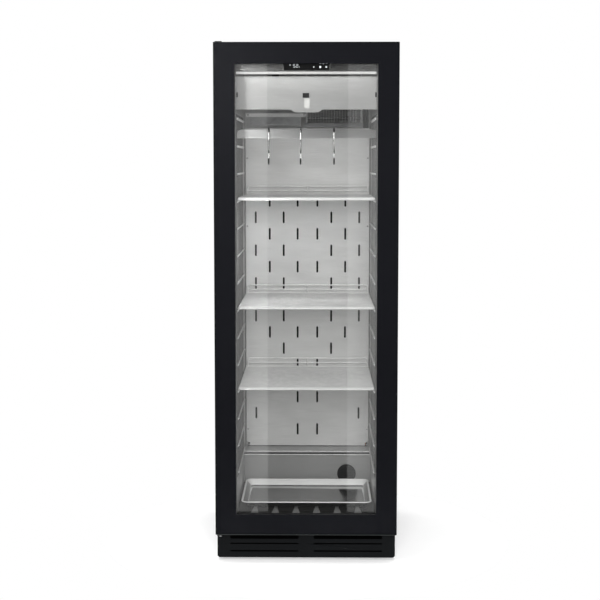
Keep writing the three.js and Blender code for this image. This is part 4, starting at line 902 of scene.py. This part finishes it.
def add_turned_mark(shape, x, z, radius, sides):
    """A round mark or, with few sides, a triangle or a square, with a soft edge."""
    flat = radius * MARK_FLAT_SHARE
    profile = [(0, MARK_RISE), (flat, MARK_RISE), (radius, MARK_RISE / 2), (radius, -SEAT), (0, -SEAT)]
    shape.lathe(profile, (x, DISPLAY_LOW.y, z), (0, -1, 0), sides)


def add_digit(shape, digit, x):
    """One digit of the reading, in upright and level strokes."""
    width, height = DIGIT_SIZE
    for name in DIGITS[digit]:
        x0, z0, x1, z1 = SEGMENTS[name]
        middle_x, middle_z = x + (x0 + x1) / 2 * width, MARK_BASE + (z0 + z1) / 2 * height
        long = (x1 - x0) * width + (z1 - z0) * height - DIGIT_STROKE * STROKE_GAP_SHARE
        size = (long, DIGIT_STROKE) if z0 == z1 else (DIGIT_STROKE, long)
        add_bar_mark(shape, middle_x, middle_z, *size)


def add_display():
    """A plain reading of two digits, and round, square, triangular and barred marks for the touch keys."""
    marks = Shape()
    for i, digit in enumerate(READING):
        add_digit(marks, digit, DIGIT_LEFT + i * DIGIT_PITCH)
    for x, height, radius, sides in TURNED_MARKS:
        add_turned_mark(marks, x, MARK_BASE + height, radius, sides)
    for x, width, height in BAR_MARKS:
        add_bar_mark(marks, x, MARK_BASE + BAR_MARK_HEIGHT, width, height)
    marks.done("display_marks", "cabinet", MARK)
    trim = Shape()
    front, back = (DISPLAY_LOW.y + depth for depth in DISPLAY_TRIM_DEPTHS)
    for side in (-1, 1):
        x = side * (DISPLAY_HIGH.x + DISPLAY_TRIM_HALF)
        trim.block((x - DISPLAY_TRIM_HALF, front, DISPLAY_LOW.z),
                   (x + DISPLAY_TRIM_HALF, back, DISPLAY_HIGH.z - SEAT), TRIM_EDGE)
    trim.done("display_trim", "cabinet", STEEL_BRIGHT)


# Cover over the cold coil
LABEL_SPAN = (-0.0075, 0.01)
LABEL_HEIGHTS = (1.495, 1.5265)
LABEL_THICKNESS = 0.0003
CLIP_WIDTH = 0.0055
CLIP_DEPTH = 0.003
CLIP_EDGE = 0.0009
CLIP_HEIGHTS = (1.5295, 1.5455)
CLIP_TAB_INSET = 0.001
CLIP_TAB_DEPTHS = (0.0028, 0.0042)
CLIP_TAB_HALF = 0.003
CLIP_TAB_EDGE = 0.0005


def add_cover_trim():
    """A blank label under the air sensor, and a spring clip at each end of the cover."""
    face = COVER_LOW.y
    label = Shape()
    label.block((LABEL_SPAN[0], face - LABEL_THICKNESS, LABEL_HEIGHTS[0]),
                (LABEL_SPAN[1], face + SEAT, LABEL_HEIGHTS[1]), FILM_EDGE)
    label.done("blank_label", "cabinet", LABEL_FILM)
    clips = Shape()
    low, high = CLIP_HEIGHTS
    near, far = CLIP_TAB_DEPTHS
    middle = (low + high) / 2
    for side in (-1, 1):
        left, right = sorted((side * COVER_HIGH.x, side * (COVER_HIGH.x - CLIP_WIDTH)))
        clips.block((left, face - CLIP_DEPTH, low), (right, face + SEAT, high), CLIP_EDGE, segments=2)
        clips.block((left + CLIP_TAB_INSET, face - far, middle - CLIP_TAB_HALF),
                    (right - CLIP_TAB_INSET, face - near, middle + CLIP_TAB_HALF), CLIP_TAB_EDGE, segments=2)
    clips.done("cover_clips", "cabinet", BLACK_PLASTIC)


# Duct panel
DUCT_SCREW_HEIGHTS = (1.3328, 1.0853, 0.3338)
DUCT_SCREW_INSET = 0.0055
DUCT_SCREW = 0.0032
SHADE_SHEET_THICKNESS = 0.0006
DUCT_SHADE_INSET = (0.004, 0.003)       # from the panel's sides, and from its top and bottom
DUCT_SHADE_GAP = 0.0004                 # before the liner's back wall


def add_duct_screws():
    screws = Shape()
    for side in (-1, 1):
        for height in DUCT_SCREW_HEIGHTS:
            x = side * (DUCT_HIGH.x - DUCT_SCREW_INSET)
            screws.screw((x, DUCT_LOW.y, height), (0, -1, 0), DUCT_SCREW)
    screws.done("duct_screws", "cabinet", SCREW_STEEL)


def add_duct_slot_shade():
    """A thin black sheet on the liner's back wall, behind the slots of the panel: painted shade in the slots.
    """
    x, z = DUCT_SHADE_INSET
    back = LINER_HIGH.y - LINER_SHEET - DUCT_SHADE_GAP
    shade_sheet = Shape()
    shade_sheet.block((DUCT_LOW.x + x, back - SHADE_SHEET_THICKNESS, DUCT_LOW.z + z),
              (DUCT_HIGH.x - x, back, DUCT_HIGH.z - z), FILM_EDGE)
    shade_sheet.done("duct_slot_shade", "cabinet", SLOT_SHADE)


# Plinth
PLINTH_SHADE_INSET = 0.009              # from its sides and bottom
PLINTH_SHADE_DROP = 0.002               # from its top


def add_plinth_slot_shade():
    """A thin black sheet behind the slots of the plinth: painted shade in the slots."""
    low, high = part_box("plinth_grille")
    shade_sheet = Shape()
    shade_sheet.block((low.x + PLINTH_SHADE_INSET, high.y - SEAT, low.z + PLINTH_SHADE_INSET),
              (high.x - PLINTH_SHADE_INSET, high.y + SHADE_SHEET_THICKNESS, high.z - PLINTH_SHADE_DROP), FILM_EDGE)
    shade_sheet.done("plinth_slot_shade", "cabinet", SLOT_SHADE)


# Charcoal filter
FILTER_DISH_SHARE = 0.84              # the dish's radius, of the cap's
FILTER_DISH = 0.004                   # depth of the dish
FILTER_CAP = 0.009                    # depth of the cap
FILTER_NECK = 0.024                   # radius of the cartridge behind it
FILTER_RIB_COUNT = 9
FILTER_RIB = 0.0024
FILTER_RIB_SETBACK = 0.0006
FILTER_LIP = ((0, FILTER_DISH), (0.0004, 0.0006), (0.0012, 0))        # out from the dish's wall, and depth
FILTER_SHOULDER = ((0.0016, 0), (0.0004, 0.0005), (0, 0.0018), (0, FILTER_CAP))   # in from the cap's edge


def add_filter():
    """A cap with level ribs in a shallow dish, on its cartridge."""
    low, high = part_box("charcoal_filter")
    centre = Vector(((low.x + high.x) / 2, low.y, (low.z + high.z) / 2))
    radius, length = (high.x - low.x) / 2, high.y - low.y
    dish = radius * FILTER_DISH_SHARE
    profile = [(0, -FILTER_DISH)]
    profile += [(dish + outwards, -depth) for outwards, depth in FILTER_LIP]
    profile += [(radius - inwards, -depth) for inwards, depth in FILTER_SHOULDER]
    profile += [(FILTER_NECK, -FILTER_CAP), (FILTER_NECK, -length), (0, -length)]
    shape = Shape()
    shape.lathe(profile, centre, (0, -1, 0), sides=64)
    pitch = 2 * dish / (FILTER_RIB_COUNT + 1)
    for i in range(FILTER_RIB_COUNT):
        offset = (i + 1) * pitch - dish
        chord = math.sqrt(dish ** 2 - offset ** 2)
        height = centre.z + offset
        shape.block((centre.x - chord, low.y + FILTER_RIB_SETBACK, height - FILTER_RIB / 2),
                    (centre.x + chord, low.y + FILTER_DISH + SEAT, height + FILTER_RIB / 2), SHEET_EDGE)
    shape.done("filter_cartridge", "filter", BLACK_PLASTIC, ["charcoal_filter"])


# Cold coil
COIL_LOW, COIL_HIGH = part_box("evaporator_coil")
COIL_PLATE = 0.0016
COIL_FIN_PITCH = 0.0096
COIL_FIN = 0.0008
COIL_FIN_START = 0.004                # the first fin, from the coil's left end
COIL_FIN_MARGIN = 0.006               # kept free of fins, at both ends together
COIL_FIN_INSET = 0.002
COIL_FIN_RISES = (0.0152, 0.1352)     # over the coil's foot
COIL_TUBE = 0.0045
COIL_TUBE_END = 0.0004
COIL_ROW_DEPTHS = (0.02, 0.056)
COIL_TUBE_RISES = (0.0302, 0.0602, 0.0902, 0.1202)


def add_cold_coil():
    """Plate fins between two end plates, on two rows of tubes."""
    front, back = COIL_LOW.y + COIL_FIN_INSET, COIL_HIGH.y - COIL_FIN_INSET
    bottom, top = (COIL_LOW.z + rise for rise in COIL_FIN_RISES)
    fins = Shape()
    for end in (COIL_LOW.x, COIL_HIGH.x - COIL_PLATE):
        fins.block((end, COIL_LOW.y, COIL_LOW.z), (end + COIL_PLATE, COIL_HIGH.y, COIL_HIGH.z), SHEET_EDGE)
    for i in range(int((COIL_HIGH.x - COIL_LOW.x - COIL_FIN_MARGIN) / COIL_FIN_PITCH)):
        x = COIL_LOW.x + COIL_FIN_START + i * COIL_FIN_PITCH
        fins.block((x, front, bottom), (x + COIL_FIN, back, top))
    fins.done("coil_fins", "cabinet", LIT_FIN_ALUMINIUM, ["evaporator_coil"])
    left, right = COIL_LOW.x + COIL_TUBE_END, COIL_HIGH.x - COIL_TUBE_END
    tubes = Shape()
    for depth in COIL_ROW_DEPTHS:
        for rise in COIL_TUBE_RISES:
            y, z = COIL_LOW.y + depth, COIL_LOW.z + rise
            tubes.rod((left, y, z), (right, y, z), COIL_TUBE, sides=12)
    tubes.done("coil_tubes", "cabinet", PAN_ALUMINIUM)


# Strip on the fan's shroud, beside the coil
STRIP_LEFT = -0.2165
STRIP_RIGHT = COIL_LOW.x - 0.002
STRIP_HEIGHTS = (1.4786, 1.4906)
STRIP_SHEET = 0.0012
STRIP_FLANGE = 0.006
STRIP_SCREW_DROP = 0.005
STRIP_SCREWS = ((STRIP_LEFT + 0.006, 0.0036), (STRIP_RIGHT - 0.006, 0.0028))      # x and radius


def add_shroud_strip():
    """A folded steel strip screwed across the fan's shroud."""
    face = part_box("fan_shroud")[0].y
    front = face - STRIP_SHEET
    low, high = STRIP_HEIGHTS
    strip = Shape()
    strip.block((STRIP_LEFT, front, low), (STRIP_RIGHT, face + SEAT, high), SHEET_EDGE)
    strip.block((STRIP_LEFT, front - STRIP_FLANGE, low - STRIP_SHEET * 2 / 3),
                (STRIP_RIGHT, front + SEAT, low + STRIP_SHEET / 3), TRIM_EDGE)
    strip.done("shroud_strip", "cabinet", LIT_STEEL_PANEL)
    screws = Shape()
    for x, radius in STRIP_SCREWS:
        screws.screw((x, front, high - STRIP_SCREW_DROP), (0, -1, 0), radius)
    screws.done("strip_screws", "cabinet", SCREW_STEEL)


# Sleeve on the suction line
SUCTION_TUBE = 0.01
SLEEVE_START = COIL_HIGH.x + 0.0025
SLEEVE_RADIUS = 0.0095
SLEEVE_BEND = 0.012
SLEEVE_LENGTH = 0.2                   # its upright run


def add_suction_sleeve():
    """The foam sleeve of the cold line, from the coil to the back wall and down."""
    low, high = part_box("suction_line")
    radius = SUCTION_TUBE / 2
    x, near, far, z = high.x - radius, low.y + radius, high.y - radius, high.z - radius
    sleeve = Shape()
    sleeve.wire([(SLEEVE_START, near, z), (x, near, z), (x, far, z), (x, far, z - SLEEVE_LENGTH)],
                SLEEVE_RADIUS, SLEEVE_BEND, sides=20)
    sleeve.done("suction_sleeve", "cabinet", SLEEVE_FOAM)


# Step over the machine space
HEM_HALF = LINER_HIGH.x - LINER_SHEET - FRAME_GAP
HEM_RADIUS = 0.0013
HEM_SINK = HEM_RADIUS * 0.4           # of the hems' middles, into the lip
LIP_SHADE_DEPTHS = (-0.0006, 0.0004)   # behind the lip's front
LIP_SHADE_DROPS = (0.0048, STEP_LIP - 0.0022)      # under the step's top
FOOT_SHADE_INSET = 0.004
FOOT_SHADE = (0.0008, 0.0022)          # how far it stands before the panel's foot, and its height


def add_step_trim():
    """The lip of the step ends in a rolled hem, above and below, with a painted highlight. A grey strip
    between the hems, and one at the foot of the duct panel, are painted shade.
    """
    hems = Shape()
    for height in (STEP_TOP - HEM_SINK, STEP_TOP - STEP_LIP + HEM_SINK):
        hems.rod((-HEM_HALF, STEP_FRONT, height), (HEM_HALF, STEP_FRONT, height), HEM_RADIUS)
    hems.done("step_hem", "cabinet", HEM_HIGHLIGHT_STEEL)
    front, back = (STEP_FRONT + depth for depth in LIP_SHADE_DEPTHS)
    top, bottom = (STEP_TOP - drop for drop in LIP_SHADE_DROPS)
    # painted shade between the hems and at the duct panel's foot
    shade_strips = Shape()
    shade_strips.block((-HEM_HALF, front, bottom), (HEM_HALF, back, top), FINE_EDGE)
    shade_strips.block((DUCT_LOW.x + FOOT_SHADE_INSET, DUCT_LOW.y - FOOT_SHADE[0], DUCT_LOW.z),
                (DUCT_HIGH.x - FOOT_SHADE_INSET, DUCT_LOW.y + SEAT, DUCT_LOW.z + FOOT_SHADE[1]), FINE_EDGE)
    shade_strips.done("step_painted_shade", "cabinet", SHADE_GREY)


# Feet
FOOT_PAD = ((0.0012, 0), (0, 0.001), (0, 0.0035), (0.0015, 0.005))      # in from its edge, and height
FOOT_NUT = ((0.0122, 0.0064), (0.0118, 0.0117))                         # radius and height
FOOT_STUD_RADII = (0.0052, 0.005, 0.0042)     # over the nut, under the tip and at the tip
FOOT_TIP = 0.0008


def add_foot(node):
    """A round pad with a nut and a threaded stud."""
    low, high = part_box(node)
    centre = ((low.x + high.x) / 2, (low.y + high.y) / 2, 0)
    radius = (high.x - low.x) / 2
    root, neck, tip = FOOT_STUD_RADII
    profile = [(0, 0)]
    profile += [(radius - inwards, height) for inwards, height in FOOT_PAD]
    profile += [*FOOT_NUT, (root, FOOT_NUT[-1][1]), (neck, high.z - FOOT_TIP), (tip, high.z), (0, high.z)]
    shape = Shape()
    shape.lathe(profile, centre, (0, 0, 1), sides=40)
    shape.done(node + "_pad", "cabinet", BLACK_PLASTIC, [node])


# Power inlet
INLET_PIN_HALF = (0.001, 0.002)       # across and up
INLET_PIN_DEPTHS = (0.002, 0.003)     # from the inlet's front and from its back
INLET_PINS = ((-0.007, -0.002), (0.007, -0.002), (0, 0.0025))


def add_inlet_pins():
    low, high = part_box("power_inlet")
    half_x, half_z = INLET_PIN_HALF
    near, far = INLET_PIN_DEPTHS
    pins = Shape()
    for across, up in INLET_PINS:
        x, z = (low.x + high.x) / 2 + across, (low.z + high.z) / 2 + up
        pins.block((x - half_x, low.y + near, z - half_z), (x + half_x, high.y - far, z + half_z), SHEET_EDGE)
    pins.done("inlet_pins", "cabinet", SCREW_STEEL)


# Rear screws
REAR_SCREW = 0.003
REAR_SCREW_INSET = 0.012
REAR_SCREW_SHARES = (0.01, 0.25, 0.5, 0.75, 0.99)      # of the sheet's height


def add_rear_screws():
    low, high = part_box("rear_panel")
    screws = Shape()
    for side in (-1, 1):
        for share in REAR_SCREW_SHARES:
            place = (side * (high.x - REAR_SCREW_INSET), high.y, low.z + (high.z - low.z) * share)
            screws.screw(place, (0, 1, 0), REAR_SCREW)
    screws.done("rear_screws", "cabinet", SCREW_STEEL)


# Camera, floor and light
def add_camera():
    """The photo's camera, a little above the middle and pitched down, with a small shift."""
    camera = bpy.data.cameras.new("camera")
    camera.sensor_width = SENSOR_WIDTH
    camera.lens = FOCAL_PIXELS * SENSOR_WIDTH / PHOTO_PIXELS
    camera.shift_y = CAMERA_SHIFT
    placed = bpy.data.objects.new("camera", camera)
    placed.location = CAMERA_PLACE
    placed.rotation_euler = (math.radians(90 - CAMERA_PITCH), 0, math.radians(CAMERA_YAW))
    bpy.context.scene.collection.objects.link(placed)
    bpy.context.scene.camera = placed


FLOOR_RADIUS = 0.7
FLOOR_GLOW = 0.27         # lifts the lit floor just to white, so that its shadow shows


def add_floor():
    """A white floor, which takes the shadow and otherwise joins the white behind it."""
    r = recipe("floor")
    seen = r.node("ShaderNodeLightPath", output="Is Camera Ray")
    mirrored = r.node("ShaderNodeLightPath", output="Is Glossy Ray")
    passed = r.node("ShaderNodeLightPath", output="Is Transmission Ray")
    paper = r.noise(3, detail=2)
    shade = r.principled(r.mix(paper, grey(0.8), grey(0.82)), 0.9, 0.0, Specular_IOR_Level=0.0)
    glow = r.node("ShaderNodeEmission", sockets={"Color": grey(1), "Strength": FLOOR_GLOW})
    both = r.node("ShaderNodeAddShader", sockets={0: shade, 1: glow})
    shown = r.node("ShaderNodeMixShader", sockets={0: seen + mirrored + passed, 1: shade, 2: both})
    bm = bmesh.new()
    bmesh.ops.create_circle(bm, cap_ends=True, segments=64, radius=FLOOR_RADIUS)
    floor = finished_object("floor", bm, r.finished(shown))


STUDIO_FRONT = 0.12
STUDIO_SIDES = 0.6
STUDIO_FADE = (-0.75, 0.1)        # from the one to the other, along Y of a ray's direction


def add_world():
    """White behind the cabinet, pale light beside it and dim light in front of it."""
    world = bpy.data.worlds.new("studio")
    bpy.context.scene.world = world
    r = Recipe(world)
    seen = r.node("ShaderNodeLightPath", output="Is Camera Ray")
    direction = r.node("ShaderNodeTexCoord", output="Generated")
    backwards = r.node("ShaderNodeSeparateXYZ", sockets={"Vector": direction}, output="Y")
    level = backwards.ramp(*STUDIO_FADE) * (STUDIO_SIDES - STUDIO_FRONT) + STUDIO_FRONT
    light = r.node("ShaderNodeBackground", sockets={"Color": grey(1), "Strength": level})
    white = r.node("ShaderNodeBackground", sockets={"Color": grey(1), "Strength": 1.0})
    shown = r.node("ShaderNodeMixShader", sockets={0: seen, 1: light, 2: white})
    r.finished(shown, "ShaderNodeOutputWorld")


LIGHT_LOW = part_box("light_strip")[0]
RAIL_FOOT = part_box("hanging_rail")[0].z
LAMPS = {
    # name: place, target, size, watts, seen in reflections
    "front": ((0.1, -4.6, 1.6), (0, 0, 0.9), (1.6, 1.6), 215, False),
    "key_left": ((-1.3, -1.3, 1.5), (0.2, -0.2, 1.0), (0.5, 1.2), 8, False),
    "edge_left": ((-0.6, -1.3, 1.75), (-0.1, -0.3, 1.5), (0.25, 0.5), 7, True),
    "fill_right": ((2.4, -2.6, 1.8), (0, 0, 0.9), (1.2, 1.8), 12, False),
    "top": ((0, -0.2, 3.6), (0, 0.1, 1.7), (2.5, 2.5), 80, False),
    "strip": ((0, LIGHT_LOW.y - 0.003, LIGHT_LOW.z - 0.002), (0, LIGHT_LOW.y + 0.05, LIGHT_LOW.z - 1.0),
              (0.42, 0.012), 0.11, True),
    "bay_fill": ((CLEAR_HALF * -0.8, LIGHT_LOW.y - 0.006, 1.06), (0.1, 0.25, 1.03), (0.02, 0.2), 0.7, False),
    "strip_throw": ((0, LIGHT_LOW.y, RAIL_FOOT - 0.02), (0, 0.25, 1.15), (0.4, 0.03), 0.09, True),
}


def add_lamp(name, place, target, size, watts, mirrored):
    """A soft rectangular lamp that shines from its place towards the target."""
    lamp = bpy.data.lights.new(name, "AREA")
    lamp.shape = "RECTANGLE"
    lamp.size, lamp.size_y = size
    lamp.energy = watts
    placed = bpy.data.objects.new(name, lamp)
    placed.location = place
    placed.rotation_euler = (Vector(target) - Vector(place)).to_track_quat("-Z", "Y").to_euler()
    placed.visible_camera = False
    placed.visible_glossy = mirrored
    bpy.context.scene.collection.objects.link(placed)


CARD_AHEAD = 2.0          # the light cards stand this far in front of the door
CARD_GLOW = 0.8
CARD_EDGES = ((-0.2288, -0.1259), (0.1346, 0.2247))     # where the bands start and end on the glass


def add_cards():
    """Two tall light cards, which only reflections show: a pale band at each side of the glass."""
    r = recipe("light_card")
    glow = r.mix(r.noise(2, detail=1), grey(0.97), grey(1))
    material = r.finished(r.node("ShaderNodeEmission", sockets={"Color": glow, "Strength": CARD_GLOW}))
    spread = CARD_AHEAD / (DOOR_LOW.y - CAMERA_PLACE[1])
    bm = bmesh.new()
    for edges in CARD_EDGES:
        low_x, high_x = (edge + (edge - CAMERA_PLACE[0]) * spread for edge in edges)
        low_z, high_z = (edge + (edge - CAMERA_PLACE[2]) * spread for edge in (CLEAR_BOTTOM, CLEAR_TOP))
        middle = ((low_x + high_x) / 2, DOOR_LOW.y - CARD_AHEAD, (low_z + high_z) / 2)
        place = (Matrix.Translation(middle) @ Matrix.Rotation(math.pi / 2, 4, "X")
                 @ Matrix.Diagonal(((high_x - low_x) / 2, (high_z - low_z) / 2, 1, 1)))
        bmesh.ops.create_grid(bm, x_segments=1, y_segments=1, size=1, matrix=place)
    cards = finished_object("light_cards", bm, material)
    cards.visible_camera = cards.visible_diffuse = cards.visible_transmission = cards.visible_shadow = False


def add_pieces():
    for i, body in enumerate(("shelf_lower", "shelf_middle", "shelf_upper")):
        add_shelf(f"shelf_{i + 1}", body)
    for i, body in enumerate(("hook_left", "hook_middle", "hook_right")):
        add_hook(f"hook_{i + 1}", body)
    add_tray()
    add_gasket()
    add_display()
    add_cover_trim()
    add_duct_screws()
    add_duct_slot_shade()
    add_plinth_slot_shade()
    add_filter()
    add_cold_coil()
    add_shroud_strip()
    add_suction_sleeve()
    add_step_trim()
    for place in ("front_left", "front_right", "rear_left", "rear_right"):
        add_foot("foot_" + place)
    add_inlet_pins()
    add_rear_screws()


add_camera()
add_world()
add_floor()
for name, setup in LAMPS.items():
    add_lamp(name, *setup)
add_cards()
dress_case()
dress_door()
dress_inside()
dress_machinery()
add_pieces()

bpy.context.scene.view_settings.view_transform = "Standard"
